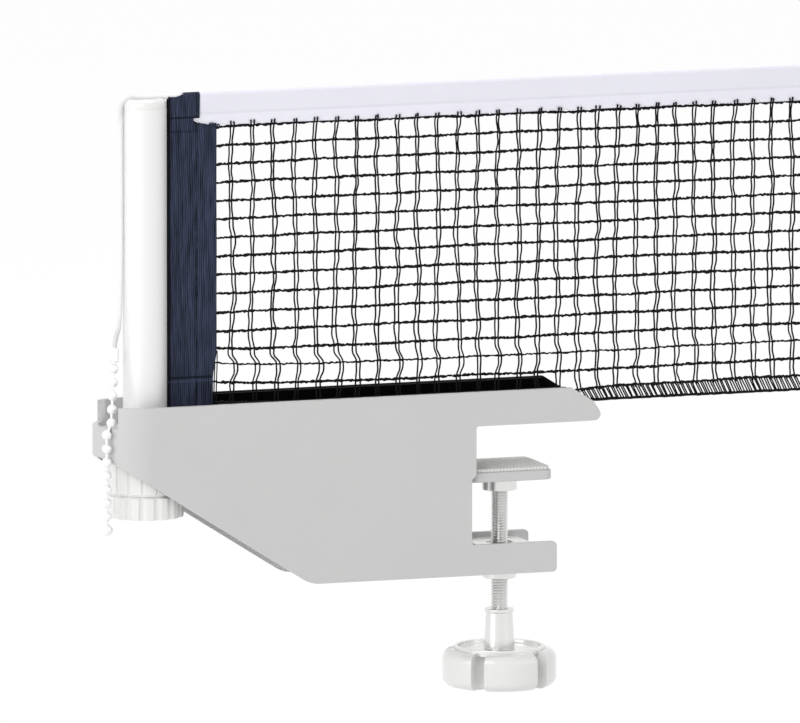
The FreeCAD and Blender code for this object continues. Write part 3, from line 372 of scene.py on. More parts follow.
def ribbed_navy(colours, sizes):
    """Ribs that wander a little, with painted shade in the cover's seam groove and under the cover's foot, a
    painted shadow where the near band leaves the post, darker lines along the low and upright seams and a lighter
    strip just below the low seam.
    """
    finish = Finish("ribbed_navy", colours.navy, 0.9, {"Specular IOR Level": 0.15})
    across = finish.axis("X")
    height = finish.axis("Z")
    ribs = (across + 0.0026 * finish.grain(0.007, 2.0, (1, 1, 3))).ridges(sizes.rib_pitch)
    streaks = 2.4 * finish.grain(0.0013, 2.0, (1, 1, 10)) - 0.7
    weave = 0.5 * ribs + 0.5 * streaks
    reach = (FAR_POST_X - POST_X) / 2 - abs(across - (FAR_POST_X + POST_X) / 2)
    # Painted shade in the groove of the cover's seam and under the cover's free foot.
    seams = (reach < BAND_STEP) * (height.near(BAND_SEAM, 0.0004) + 0.4 * height.near(COVER_FOOT, 0.0005))
    upright = reach.near(UPRIGHT_SEAM, 0.0005) * (3 * finish.grain(0.004) - 0.9)
    # Painted shadow where the near band comes out of the post.
    painted_shadow_beside_post = (reach < BAND_EDGE + 0.0011) * (across < 0)
    dark = seams + upright + height.near(LOW_SEAM, 0.0005) + 1.3 * painted_shadow_beside_post
    # A lighter strip just below the low seam.
    lighter_below_low_seam = 0.25 * height.near(LOW_SEAM - 0.0017, 0.0006)
    finish.shades(weave * (1 - 0.7 * dark) + lighter_below_low_seam, 0.12, 1.88)
    finish.feed("Roughness", 0.95 - 0.1 * ribs)
    finish.relief(weave, 0.0002)
    return finish.material


def net_thread(colours):
    """Twisted fibres, whose strands catch a little light."""
    finish = Finish("net_thread", colours.netting, 0.85, {"Specular IOR Level": 0.15})
    fibres = finish.grain(0.0004)
    finish.shades(fibres, 0.5, 1.8)
    finish.feed("Roughness", 0.75 + 0.2 * fibres)
    finish.relief(fibres, 0.0002)
    return finish.material


def woven_tape(colours):
    """A fine weave in shallow folds, with painted shade along the crease of the seam and a painted lighter strip
    below it, where the cloth turns up towards the light.
    """
    finish = Finish("woven_tape", colours.tape, 0.75, {"Sheen Weight": 0.2})
    height = finish.axis("Z")
    yarn = 0.0005
    weave = finish.axis("X").ridges(yarn) * height.ridges(yarn)
    folds = finish.grain(0.012, 2.0, (4, 1, 1))
    # Painted shade along the seam's crease, and a painted lighter strip below it.
    seam_shade_and_lit_strip = 0.15 * (height < TAPE_SEAM) - 0.3 * height.near(TAPE_SEAM + 0.0002, 0.0006)
    finish.shades(0.5 + 0.2 * weave + 0.2 * folds + seam_shade_and_lit_strip, 0.86, 1.04)
    finish.feed("Roughness", 0.7 + 0.15 * weave)
    finish.relief(weave + 2.0 * folds, 0.0001)
    return finish.material


def braided_cord(colours, sizes):
    """The braid follows the cord by its own UV map, whose first axis runs along it."""
    finish = Finish("braided_cord", colours.cord, 0.6, {"Sheen Weight": 0.2})
    braid_pitch = 0.0011
    uv = finish.node("ShaderNodeTexCoord", {}, {}, "UV")
    along = finish.node("ShaderNodeSeparateXYZ", {}, {0: uv}, "X") * CORD_LENGTH
    round_it = finish.node("ShaderNodeSeparateXYZ", {}, {0: uv}, "Y") * (math.pi * sizes.cord_diameter)
    braid = (along + round_it).ridges(braid_pitch) * (along - round_it).ridges(braid_pitch)
    finish.shades(braid, 0.9, 1.0)
    finish.feed("Roughness", 0.7 - 0.15 * braid)
    finish.relief(braid, 0.00008)
    return finish.material


def add_piece(name, data, body, slot, material, *nodes):
    """Puts a mesh or curve in the scene, on a body, and has it stand for its CAD nodes."""
    data.materials.append(material)
    piece = bpy.data.objects.new(name, data)
    bpy.context.scene.collection.objects.link(piece)
    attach(piece, body)
    if nodes:
        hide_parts(*nodes)
    return piece


def add_shape(name, bm, body, slot, material, *nodes):
    """Adds a finished bmesh as a piece, shaded smooth except at sharp edges."""
    mesh = bpy.data.meshes.new(name)
    bm.to_mesh(mesh)
    bm.free()
    mesh.shade_smooth()
    mesh.set_sharp_from_angle(angle=math.radians(SHARP_ANGLE))
    return add_piece(name, mesh, body, slot, material, *nodes)


def cut_beyond(bm, place, way):
    """Cuts away what lies beyond a plane through a place, on the side that way points to."""
    bmesh.ops.bisect_plane(bm, geom=bm.verts[:] + bm.edges[:] + bm.faces[:], dist=1e-7,
                           plane_co=place, plane_no=way, clear_outer=True)


def stray(chance, most):
    """A random step of up to this much either way."""
    return chance.uniform(-1, 1) * most


def held(value):
    """The value, held between 0 and 1."""
    return min(1, max(0, value))


def fade(along, length):
    """1 at the near band's edge, and less and less along the net, by a factor of e in each length."""
    return math.exp((NET_LEFT - along) / length)


def new_thread_curve(name, diameter, sides):
    """A curve whose splines become round threads."""
    curve = bpy.data.curves.new(name, "CURVE")
    curve.dimensions = "3D"
    curve.bevel_depth = diameter / 2
    curve.bevel_resolution = sides
    curve.use_fill_caps = True
    return curve


def add_thread(curve, points, radii=None, kind="NURBS"):
    """Adds a thread through points in metres; radii are shares of the usual radius."""
    spline = curve.splines.new(kind)
    spline.points.add(len(points) - 1)
    for index, (target, point) in enumerate(zip(spline.points, points)):
        target.co = (*point, 1)
        target.radius = radii[index] if radii else 1
    if kind == "NURBS":
        spline.order_u = 3
        spline.use_endpoint_u = True
    spline.use_smooth = True


def at_length(path, wanted):
    """The point of a polyline at this distance from its start."""
    left = wanted
    for start, end in zip(path, path[1:]):
        run = (end - start).length
        if left <= run + 1e-9:
            break
        left -= run
    return start + (end - start) * min(left / run, 1)


def folded_cloth(line, steps, girth_steps, place):
    """A flat cut of cloth folded along a line.

    place turns a share of the cut's length and a point of the fold into X, Y, Z.
    """
    path = [Vector(point) for point in line]
    girth = sum((end - start).length for start, end in zip(path, path[1:]))
    bm = bmesh.new()
    bmesh.ops.create_grid(bm, x_segments=steps, y_segments=girth_steps, size=0.5)
    for vert in bm.verts:
        vert.co = place(vert.co.x + 0.5, at_length(path, (vert.co.y + 0.5) * girth))
    return bm, girth


def over_cord(radius):
    """The front half of a fold round the cord, from below its middle nearly to its top."""
    return [
        (-radius * math.cos(math.radians(angle)), CORD_HEIGHT + radius * math.sin(math.radians(angle)))
        for angle in range(-25, 100, 25)
    ]


def both_sides(half):
    """A whole fold, front and back, from its front half."""
    return half + [(-depth, height) for depth, height in reversed(half)]


def cut_where(bm, outside, smoothed):
    """Cuts away the faces whose middle lies outside, and smooths the edge where the cut runs aslant."""
    gone = [face for face in bm.faces if outside(face.calc_center_median())]
    bmesh.ops.delete(bm, geom=gone, context="FACES")
    edge = [vert for vert in bm.verts if vert.is_boundary and smoothed(vert.co)]
    smoothings = 8
    for turn in range(smoothings):
        bmesh.ops.smooth_vert(bm, verts=edge, factor=0.5, use_axis_x=True, use_axis_y=True, use_axis_z=True)


def thicken(piece, thickness, offset=0):
    """Gives a sheet its thickness: half on each side, or all outwards where the offset is 1."""
    solid = piece.modifiers.new("thickness", "SOLIDIFY")
    solid.thickness = thickness
    solid.offset = offset


def stitch_row(bm, start, end, spacing, length, thickness):
    """A row of flat little stitches between two points, each a narrowed cylinder along the row."""
    start, end = Vector(start), Vector(end)
    way = (end - start).normalized()
    turn = way.to_track_quat("Z", "Y").to_matrix().to_4x4()
    for index in range(int((end - start).length / spacing)):
        middle = start + way * (spacing * (index + 0.5))
        made = bmesh.ops.create_cone(
            bm, cap_ends=True, segments=6, radius1=thickness / 2, radius2=thickness / 2, depth=length,
            matrix=Matrix.Translation(middle) @ turn,
        )
        caps = {edge for vert in made["verts"] for edge in vert.link_edges
                if abs((edge.verts[0].co - edge.verts[1].co).normalized().dot(way)) < 0.5}
        bmesh.ops.bevel(bm, geom=list(caps), offset=thickness / 5, offset_type="OFFSET", segments=1,
                        profile=0.5, affect="EDGES", material=-1)


class NETCLAMP_OT_stage(bpy.types.Operator):
    """Makes the camera, the floor, the lamps and the white surroundings"""

    bl_idname = "netclamp.stage"
    bl_label = "Stage"

    def execute(self, context):
        scene = context.scene
        scene.view_settings.view_transform = "Standard"
        self.make_camera(scene)
        self.make_floor(scene)
        self.make_world(scene)
        for lamp in LAMPS:
            self.make_lamp(scene, *lamp)
        return {"FINISHED"}

    def make_camera(self, scene):
        data = bpy.data.cameras.new("photo_camera")
        data.lens = CAMERA_LENS_PER_METRE * CAMERA_DISTANCE
        data.sensor_width = 36
        data.clip_end = 60
        camera = bpy.data.objects.new("photo_camera", data)
        scene.collection.objects.link(camera)
        level = math.cos(CAMERA_RISE)
        back = Vector((math.sin(CAMERA_TURN) * level, -math.cos(CAMERA_TURN) * level, math.sin(CAMERA_RISE)))
        camera.location = Vector(CAMERA_AIM) + back * CAMERA_DISTANCE
        camera.rotation_euler = (-back).to_track_quat("-Z", "Y").to_euler()
        scene.camera = camera

    def make_floor(self, scene):
        """A pale floor that keeps the object's shadow and shows nearly white."""
        bm = bmesh.new()
        bmesh.ops.create_grid(bm, x_segments=1, y_segments=1, size=12)
        bmesh.ops.translate(bm, verts=bm.verts, vec=(0, 0, FLOOR_HEIGHT))
        finish = Finish("pale_floor", (0.9, 0.9, 0.9), 0.9)
        white = finish.node("ShaderNodeEmission", {}, {"Color": WHITE, "Strength": FLOOR_WHITE})
        lit = Strand(finish, finish.shader.outputs[0])
        finish.end("Material Output", FLOOR_WHITE_SHARE * finish.in_view(), lit, white)
        mesh = bpy.data.meshes.new("floor")
        bm.to_mesh(mesh)
        bm.free()
        mesh.materials.append(finish.material)
        floor = bpy.data.objects.new("floor", mesh)
        scene.collection.objects.link(floor)

    def make_world(self, scene):
        """Soft light on the object, in surroundings that show white."""
        world = bpy.data.worlds.new("white_room")
        world.use_nodes = True
        network = Network(world.node_tree)
        light = network.tree.nodes["Background"]
        light.inputs["Color"].default_value = WHITE
        light.inputs["Strength"].default_value = WORLD_LIGHT
        white = network.node("ShaderNodeBackground", {}, {"Color": WHITE})
        network.end("World Output", network.in_view(), Strand(network, light.outputs[0]), white)
        scene.world = world

    def make_lamp(self, scene, name, place, side, power):
        data = bpy.data.lights.new(name, "AREA")
        data.size = side
        data.energy = power
        lamp = bpy.data.objects.new(name, data)
        lamp.location = place
        lamp.rotation_euler = (-Vector(place)).to_track_quat("-Z", "Y").to_euler()
        scene.collection.objects.link(lamp)


class NETCLAMP_OT_cord(bpy.types.Operator):
    """Lays the tension cord along the net's top, over the post's cap and down to the chain"""

    bl_idname = "netclamp.cord"
    bl_label = "Tension cord"

    def execute(self, context):
        sizes = context.scene.net_clamp_sizes
        curve = new_thread_curve("tension_cord_line", sizes.cord_diameter, sides=4)
        curve.resolution_u = 24
        add_thread(curve, CORD_ROUTE)
        material = braided_cord(context.scene.net_clamp_colours, sizes)
        cord = add_piece("cord", curve, "post", "white_cord", material, "tension_cord")
        return {"FINISHED"}


class NETCLAMP_OT_netting(bpy.types.Operator):
    """Makes the net: level threads, upright pairs and the slanted threads of the hem"""

    bl_idname = "netclamp.netting"
    bl_label = "Netting"

    def execute(self, context):
        sizes = context.scene.net_clamp_sizes
        material = net_thread(context.scene.net_clamp_colours)
        threads = new_thread_curve("net_threads", sizes.pair_thread, sides=1)
        threads.resolution_u = 2
        hem = new_thread_curve("hem_threads", sizes.hem_thread, sides=0)
        hem.resolution_u = 1
        self.lay_rows(threads, sizes)
        self.lay_pairs(threads, sizes)
        self.lay_edge_threads(threads)
        self.lay_hem(hem, sizes)
        netting = add_piece("netting", threads, "post", "black_netting", material, "net_mesh")
        add_piece("net_hem_threads", hem, "post", "black_netting", material, "net_hem")
        return {"FINISHED"}

    def lay_rows(self, curve, sizes):
        """Level threads of uneven beads, from band to band; the upper ones sag beside the near band."""
        chance = random.Random(3)
        spacing = 0.00085
        hidden = 0.0035
        thin_row = sizes.row_count - 3
        count = round((NET_RIGHT - NET_LEFT + 2 * hidden) / spacing)
        for row in range(sizes.row_count):
            usual = sizes.row_thread / sizes.pair_thread * (0.7 if row == thin_row else 1)
            points = []
            radii = []
            for index in range(count + 1):
                along = NET_LEFT - hidden + index * spacing
                wander = noise.noise(Vector((along * 40, row * 7.3, 0))) * 0.0005
                sag = 0.0013 * fade(along, 0.009) * (row_share(row, sizes) - 0.35)
                height = row_height(row, along, sizes) + wander - min(sag, 0.001)
                points.append((along, stray(chance, 0.00008), height + stray(chance, 0.00026)))
                in_band = along < NET_LEFT or along > NET_RIGHT
                radii.append(usual * (0.75 if in_band else chance.uniform(0.65, 1.35)))
            add_thread(curve, points, radii, "POLY")

    def lay_pairs(self, curve, sizes):
        """Upright pairs, which wander from row to row and are pushed aside at the lowest rows."""
        chance = random.Random(11)
        crossing = 0.0012
        for pair in range(sizes.pair_count):
            middle = FIRST_PAIR + sizes.pair_step * pair - sizes.pair_tightening / 2 * pair * pair
            drift = 0.0
            lines = ([], [])
            near_band = fade(middle, 0.16)
            jogs = {0: 0.0006, 1: 0.0009 * near_band, 2: 0.0028 * near_band}
            for row in range(sizes.row_count):
                height = row_height(row, middle, sizes)
                gap_below = height - row_height(row + 1, middle, sizes)
                drift = 0.6 * drift + stray(chance, 0.0008)
                half = sizes.pair_gap / 2 * (1 - 0.25 * row_share(row, sizes)) * chance.uniform(0.65, 1.1)
                jog = jogs.get(sizes.row_count - 1 - row, 0)
                for line, sign in zip(lines, (1, -1)):
                    place = middle + drift + jog + sign * half
                    line.append((place, sign * 0.0005, height + crossing))
                    line.append((place + stray(chance, 0.0002), -sign * 0.0002, height - crossing))
                    if row < sizes.row_count - 1:
                        line.append((place + stray(chance, 0.0003), sign * 0.0003, height - gap_below / 2))
            top = row_height(0, middle, sizes)
            for line in lines:
                place = line[0][0]
                # The thread's end comes out in front of the tape's foot.
                over = [(place + stray(chance, 0.0003), -0.0013, top + chance.uniform(0.0019, 0.0026)),
                        (place, -0.0014, top + 0.0008)]
                add_thread(curve, over + line[1:])

    def lay_edge_threads(self, curve):
        """The net's own edge shows beside each band's narrowed foot."""
        near = [[(along + shift, 0.0003, height) for along, height in EDGE_COURSE] for shift in (0, 0.0011)]
        far = [[(POST_X + FAR_POST_X - along, depth, height) for along, depth, height in line] for line in near]
        for line in near + far:
            add_thread(curve, line, [0.7] * len(line))

    def lay_hem(self, curve, sizes):
        """Two layers of slanted threads, and the level thread that ends the net below."""
        chance = random.Random(5)
        lean = 0.0033
        count = int((NET_RIGHT - NET_LEFT - lean) / sizes.hem_spacing)
        for layer, shift in ((-0.0004, 0.0), (0.0004, sizes.hem_spacing / 2)):
            for index in range(count):
                start = NET_LEFT + shift + index * sizes.hem_spacing + stray(chance, 0.00015)
                slip = lean * chance.uniform(0.9, 1.1)
                add_thread(curve, [
                    (start, layer, row_height(sizes.row_count - 1, start, sizes) + 0.0003),
                    (start + slip * 0.5, layer * 1.2, (NET_FOOT + HEM_FOOT) / 2),
                    (start + slip, layer, HEM_FOOT + 0.0004),
                ])
        edge = sizes.row_thread / sizes.hem_thread
        spacing = 0.0015
        points = []
        for index in range(round((NET_RIGHT - NET_LEFT) / spacing) + 1):
            points.append((NET_LEFT + index * spacing, 0, HEM_FOOT + 0.0006 + stray(chance, 0.00012)))
        add_thread(curve, points, [edge * chance.uniform(0.85, 1.15) for point in points], "POLY")


def row_share(row, sizes):
    """1 at the net's top row and 0 at its bottom row."""
    return 1 - row / (sizes.row_count - 1)


def row_height(row, along, sizes):
    """The height of a level thread at a place along the net.

    The upper rows fall a little from the post to the table. The last four are gathered upwards at the near band,
    and the last one lies lower in the channel than past the arm's nose.
    """
    even = NET_FOOT + (NET_HEAD - NET_FOOT) * row_share(row, sizes)
    below = sizes.row_count - 1 - row
    if below == 0:
        even += 0.0012 / (1 + math.exp((ARM_NOSE - along) / 0.004)) - 0.0006
    if below < 3:
        return even - 0.0001 + 0.0025 * fade(along, 0.04) + 0.004 * max(0, along - 0.03)
    if below == 3:
        return even - 0.0004 + 0.0014 * fade(along, 0.03)
    return even + 0.0038 * (0.075 - along) * min(1, (below - 3) / 4)


def reach_of(along):
    """The distance of a place on X from the nearer post's axis."""
    return min(along - POST_X, FAR_POST_X - along)


def shoulder(reach):
    """The height at which a band's slanted shoulder meets the tape; nothing is cut beyond the band's end."""
    if reach > BAND_END:
        return 0
    return min(SHOULDER_TOP, 0.1425 + 0.58 * max(0, SHOULDER_BEND - reach) - 0.193 * max(0, reach - SHOULDER_BEND))


class NETCLAMP_OT_tape(bpy.types.Operator):
    """Folds the white tape over the cord along the net's top"""

    bl_idname = "netclamp.tape"
    bl_label = "Top tape"

    def execute(self, context):
        material = woven_tape(context.scene.net_clamp_colours)
        hidden = BAND_END - NOTCH_EDGE + 0.0015
        left, right = NET_LEFT - hidden, NET_RIGHT + hidden
        # Up from the front foot, in at the seam, round the cord and down the back.
        front = [(-0.00075, TAPE_FOOT), (-0.00055, TAPE_FOOT + 0.003),
                 (-0.00036, TAPE_SEAM), (-0.00085, BULGE_FOOT)]
        bm, girth = folded_cloth(
            both_sides(front + over_cord(TAPE_FOLD)), steps=200, girth_steps=44,
            place=lambda share, fold: (left + (right - left) * share, fold[0], fold[1]),
        )
        cut_where(bm, lambda at: at.z < shoulder(reach_of(at.x)) - 0.0009,
                  lambda at: reach_of(at.x) < BAND_END and TAPE_FOOT + 0.0003 < at.z < SHOULDER_TOP - 0.0004)
        self.settle(bm, context.scene.net_clamp_sizes)
        tape = add_shape("top_tape", bm, "post", "white_tape", material, "net_top_tape")
        thicken(tape, 0.00035)
        seam = bmesh.new()
        for depth in (-0.00058, 0.00058):
            stitch_row(seam, (NET_LEFT, depth, TAPE_SEAM), (NET_RIGHT, depth, TAPE_SEAM),
                       spacing=0.0024, length=0.0017, thickness=0.00028)
        add_shape("tape_seam", seam, "post", "white_tape", material)
        return {"FINISHED"}

    def settle(self, bm, sizes):
        """Waves the cloth, lets its foot follow the net's top row and draws it in under the covers and sleeves."""
        for vert in bm.verts:
            side = 1 if vert.co.y > 0 else -1
            low = max(0, 1 - (vert.co.z - TAPE_FOOT) / 0.012)
            reach = reach_of(vert.co.x)
            vert.co.y += 0.00025 * noise.noise(Vector((vert.co.x * 55, side * 3.1, vert.co.z * 60)))
            vert.co.z += low * (row_height(0, vert.co.x, sizes) - NET_HEAD)
            vert.co.z += 0.0004 * low * noise.noise(Vector((vert.co.x * 30, side * 5.7, 0)))
            if reach < BAND_STEP + 0.0004:
                vert.co.y *= 0.75
                vert.co.z = min(vert.co.z, CORD_HEIGHT) + 0.75 * max(0, vert.co.z - CORD_HEIGHT)
            if reach < BAND_END + 0.001:
                tucked = held((vert.co.z - shoulder(reach)) / 0.002)
                vert.co.y *= 0.4 + 0.6 * tucked


class NETCLAMP_OT_bands(bpy.types.Operator):
    """Wraps a ribbed navy band round the rod at each end of the net and folds a cover over the cord"""

    bl_idname = "netclamp.bands"
    bl_label = "End bands"

    def execute(self, context):
        material = ribbed_navy(context.scene.net_clamp_colours, context.scene.net_clamp_sizes)
        ends = (("near", POST_X, 1, "net_side_band", "net_rod"),
                ("far", FAR_POST_X, -1, "net_far_band", "far_rod"))
        for end, post, way, node, rod in ends:
            sleeve, flat = self.make_sleeve(end, post, way, material, node)
            cover, flat = self.make_cover(end, post, way, material, node)
            self.make_seams(end, post, way, material)
            self.make_frays(end, post, way, material)
        return {"FINISHED"}

    def make_sleeve(self, end, post, way, material, node):
        """Two layers that lie on the net and loop round the rod; the foot narrows towards the net."""
        half = [(BAND_END, -0.00042), (BAND_EDGE, -0.00042), (0.0084, -0.0005), (0.0074, -0.0012)]
        half += [
            (ROD_PLACE + ROD_LOOP * math.cos(math.radians(angle)), -ROD_LOOP * math.sin(math.radians(angle)))
            for angle in range(40, 181, 20)
        ]
        line = half + [(reach, -y) for reach, y in reversed(half[:-1])]

        def place(share, fold):
            reach = fold[0]
            inside = reach < BAND_EDGE - 0.0004
            low = ROD_FOOT if inside else HEM_FOOT
            high = ROD_HEAD if inside else shoulder(reach)
            height = low + (high - low) * share
            wave = 0.0003 * noise.noise(Vector((reach * 90, fold[1] * 900, share * 6))) * (not inside)
            foot = held((0.037 - height) / 0.01)
            narrowed = 0.0018 * foot * max(0, reach - 0.02) / (BAND_END - 0.02)
            return (post + way * (reach - narrowed), fold[1] + wave, height)

        bm, girth = folded_cloth(line, steps=60, girth_steps=190, place=place)
        piece = add_shape(end + "_sleeve", bm, "post", "navy_webbing", material, node)
        thicken(piece, 0.0007)
        return piece, (girth, SLEEVE_HEIGHT)

    def make_cover(self, end, post, way, material, node):
        """A short piece of band, folded over the cord and the sleeve's head."""
        length = BAND_STEP - BAND_EDGE
        front = [(-0.00105, COVER_FOOT), (-0.00115, 0.1438), (-0.00098, BAND_SEAM), (-0.0012, BULGE_FOOT)]
        bm, girth = folded_cloth(
            both_sides(front + over_cord(COVER_FOLD)), steps=60, girth_steps=130,
            place=lambda share, fold: (post + way * (BAND_EDGE + share * length), fold[0], fold[1]),
        )
        cut_where(bm, lambda at: self.in_corner(abs(at.x - post), at.z),
                  lambda at: 0.0115 < abs(at.x - post) < 0.021 and at.z > CORD_HEIGHT - 0.0003)
        for vert in bm.verts:
            vert.co.y += 0.0002 * noise.noise(Vector((vert.co.x * 120, vert.co.y * 500, vert.co.z * 60)))
        piece = add_shape(end + "_cover", bm, "post", "navy_webbing", material, node)
        thicken(piece, 0.0003)
        return piece, (girth, length)

    def in_corner(self, reach, height):
        """The cover is cut away beside the post, where the cord comes out, and under its other lower corner."""
        if reach > NOTCH_EDGE:
            return height < BAND_SEAM - 0.0004
        slope_start, slope_end = 0.0143, 0.0196
        slope = held((reach - slope_start) / (slope_end - slope_start))
        return height > CORD_HEIGHT + 0.0017 * slope and slope < 1

    def make_seams(self, end, post, way, material):
        """Stitches along both seams of the cover, the sleeve's low seam and its upright one."""
        bm = bmesh.new()
        rows = [((BAND_EDGE + 0.0006, 0.00122, BAND_SEAM), (BAND_STEP - 0.0004, 0.00122, BAND_SEAM)),
                ((BAND_EDGE + 0.0006, 0.00135, 0.1394), (NOTCH_EDGE - 0.0004, 0.00135, 0.1394)),
                ((BAND_EDGE + 0.0006, 0.00088, LOW_SEAM), (BAND_END - 0.0024, 0.00088, LOW_SEAM)),
                ((UPRIGHT_SEAM, 0.00085, HEM_FOOT), (UPRIGHT_SEAM, 0.00085, COVER_FOOT - 0.0003))]
        for side in (-1, 1):
            for row in rows:
                ends = [(post + way * reach, side * depth, height) for reach, depth, height in row]
                stitch_row(bm, *ends, spacing=0.0021, length=0.0015, thickness=0.00032)
        add_shape(end + "_band_stitches", bm, "post", "navy_webbing", material)

    def make_frays(self, end, post, way, material):
        """Loose thread ends along the shoulder's cut edge and just past the band's end."""
        chance = random.Random(7)
        curve = new_thread_curve(end + "_fray_threads", diameter=0.00055, sides=1)
        for index in range(20):
            reach = 0.0305 + 0.0055 * chance.random()
            foot = shoulder(min(reach, BAND_END)) - 0.0006
            side = -1 if index % 3 else 1
            tip = stray(chance, 0.0013)
            depth, rise = chance.uniform(0.001, 0.0014), chance.uniform(0.001, 0.002)
            add_thread(curve, [
                (post + way * reach, side * 0.0009, foot),
                (post + way * (reach + tip * 0.4), side * 0.0012, foot + 0.0009),
                (post + way * (reach + tip), side * depth, foot + rise),
            ])
        add_piece(end + "_frays", curve, "post", "navy_webbing", material)


def body_and_slot(node):
    """The moving body and the material slot of a CAD node."""
    bodies, parts = frame["record"]["behaviour"]["bodies"], frame["record"]["subparts"]
    return (next(body for body, nodes in bodies.items() if node in nodes),
            next(part["material_slot"] for part in parts if part["node"] == node))


def finish_for(slot, colours):
    """The finish of a material slot, made once."""
    makers = {
        "grey_painted_steel": grey_paint, "black_plastic": moulded_black, "rubber": pale_rubber,
        "zinc_steel": plating, "grey_plastic": pale_plastic, "post_aluminium": drawn_aluminium,
    }
    maker = makers[slot]
    return bpy.data.materials.get(maker.__name__) or maker(colours)


def merged_copy(node):
    """A CAD piece's triangles, merged at their corners and joined where they are level."""
    bm = bmesh.new()
    bm.from_mesh(frame["nodes"][node].data)
    bmesh.ops.remove_doubles(bm, verts=bm.verts, dist=1e-6)
    bmesh.ops.dissolve_limit(bm, angle_limit=math.radians(0.5), verts=bm.verts, edges=bm.edges)
    bmesh.ops.recalc_face_normals(bm, faces=bm.faces)
    return bm


def soften(piece, width):
    """Rounds a piece's sharp edges to this width."""
    rounding = piece.modifiers.new("rounding", "BEVEL")
    rounding.width = width
    rounding.segments = 3
    rounding.limit_method = "ANGLE"
    rounding.angle_limit = math.radians(ROUNDED_ANGLE)
    rounding.harden_normals = True


def round_off(colours, **widths):
    """Puts a merged copy of each CAD piece in its place, with its sharp edges rounded to its width."""
    for node, width in widths.items():
        body, slot = body_and_slot(node)
        copy = add_shape(node + "_rounded", merged_copy(node), body, slot, finish_for(slot, colours), node)
        soften(copy, width)


def dress(nodes, finish):
    """Gives CAD pieces that show as they are a finish."""
    for node in nodes:
        for slot in frame["nodes"][node].material_slots:
            slot.material = finish


def ring_section(bm, inner, outer, foot, head):
    """The corners of a ring's section beside Z, to be spun round it."""
    return [bm.verts.new((reach, 0, height))
            for reach, height in ((inner, foot), (outer, foot), (outer, head), (inner, head))]


def add_to_post(name, bm, body, colours, width):
    """Adds a pale moulding that was shaped about Z, moved to the post's axis, with its edges softened."""
    bmesh.ops.translate(bm, verts=bm.verts, vec=(POST_X, 0, 0))
    bmesh.ops.recalc_face_normals(bm, faces=bm.faces)
    soften(add_shape(name, bm, body, "grey_plastic", finish_for("grey_plastic", colours)), width)


class NETCLAMP_OT_bracket(bpy.types.Operator):
    """Rounds the edges of the bent bracket, its channel, pad, bridge, nut and holder, and finishes them"""

    bl_idname = "netclamp.bracket"
    bl_label = "Bracket"

    def execute(self, context):
        colours = context.scene.net_clamp_colours
        round_off(colours, clamp_bracket=0.00045, jaw_insert=0.0003, table_pad=0.0003,
                  lower_bridge=0.0004, screw_nut=0.0004, post_holder=0.0005)
        dress(["holder_screws", "thrust_washer"], finish_for("zinc_steel", colours))
        dress(["guide_key"], finish_for("black_plastic", colours))
        self.make_channel_lip(colours)
        self.make_holder_panels(colours)
        return {"FINISHED"}

    def make_channel_lip(self, colours):
        """The channel's moulding laps over the far leg's upper edge and nose."""
        bm = merged_copy("clamp_bracket")
        cut_beyond(bm, (0, LEG_INSIDE - 0.00005, 0), (0, -1, 0))
        cut_beyond(bm, (0, 0, CHANNEL_FLOOR), (0, 0, -1))
        cut_beyond(bm, (ARM_BACK, 0, 0), (-1, 0, 0))
        outside = [face for face in bm.faces if face.normal.y > 0.5]
        bmesh.ops.delete(bm, geom=outside, context="FACES")
        lip = add_shape("channel_lip", bm, "bracket", "black_plastic", finish_for("black_plastic", colours))
        thicken(lip, 0.0003, offset=1)

    def make_holder_panels(self, colours):
        """Low upright panels with narrow grooves between them round the holder's skirt."""
        bm = bmesh.new()
        count = 16
        first_edge, groove = -110.5, 3.2
        for index in range(count):
            start = first_edge + 360 / count * index
            loop = ring_section(bm, inner=HOLDER_RADIUS - 0.0004, outer=HOLDER_RADIUS + 0.0005,
                                foot=HOLDER_FOOT + 0.0006, head=HOLDER_HEAD)
            bmesh.ops.rotate(bm, verts=loop, cent=(0, 0, 0), matrix=Matrix.Rotation(math.radians(start), 3, "Z"))
            bmesh.ops.spin(bm, geom=[bm.faces.new(loop)], cent=(0, 0, 0), axis=(0, 0, 1),
                           angle=math.radians(360 / count - groove), steps=6, use_merge=False)
        add_to_post("holder_panels", bm, "bracket", colours, 0.0004)


class NETCLAMP_OT_post(bpy.types.Operator):
    """Finishes the post, its cap, rods and foot, and the fluted knob that sets its height"""

    bl_idname = "netclamp.post"
    bl_label = "Post and height knob"

    def execute(self, context):
        colours = context.scene.net_clamp_colours
        round_off(colours, post_cap=0.0003, height_knob=0.0005)
        dress(["post_tube"], finish_for("post_aluminium", colours))
        dress(["post_nut"], finish_for("grey_plastic", colours))
        dress(["post_pins", "net_rod", "far_rod", "height_screw", "height_clip"],
              finish_for("zinc_steel", colours))
        self.make_knob_shoulder(colours)
        return {"FINISHED"}

    def make_knob_shoulder(self, colours):
        """A low shoulder on the height knob, which fills the gap under the holder to just inside its skirt."""
        bm = bmesh.new()
        loop = ring_section(bm, inner=0.0137, outer=HOLDER_RADIUS - 0.0004,
                            foot=KNOB_TOP - 0.0002, head=HOLDER_FOOT - 0.00015)
        edges = [bm.edges.new((loop[index - 1], loop[index])) for index in range(4)]
        bmesh.ops.spin(bm, geom=loop + edges, cent=(0, 0, 0), axis=(0, 0, 1), angle=2 * math.pi, steps=72,
                       use_merge=True)
        add_to_post("knob_shoulder", bm, "height_adjuster", colours, 0.00015)


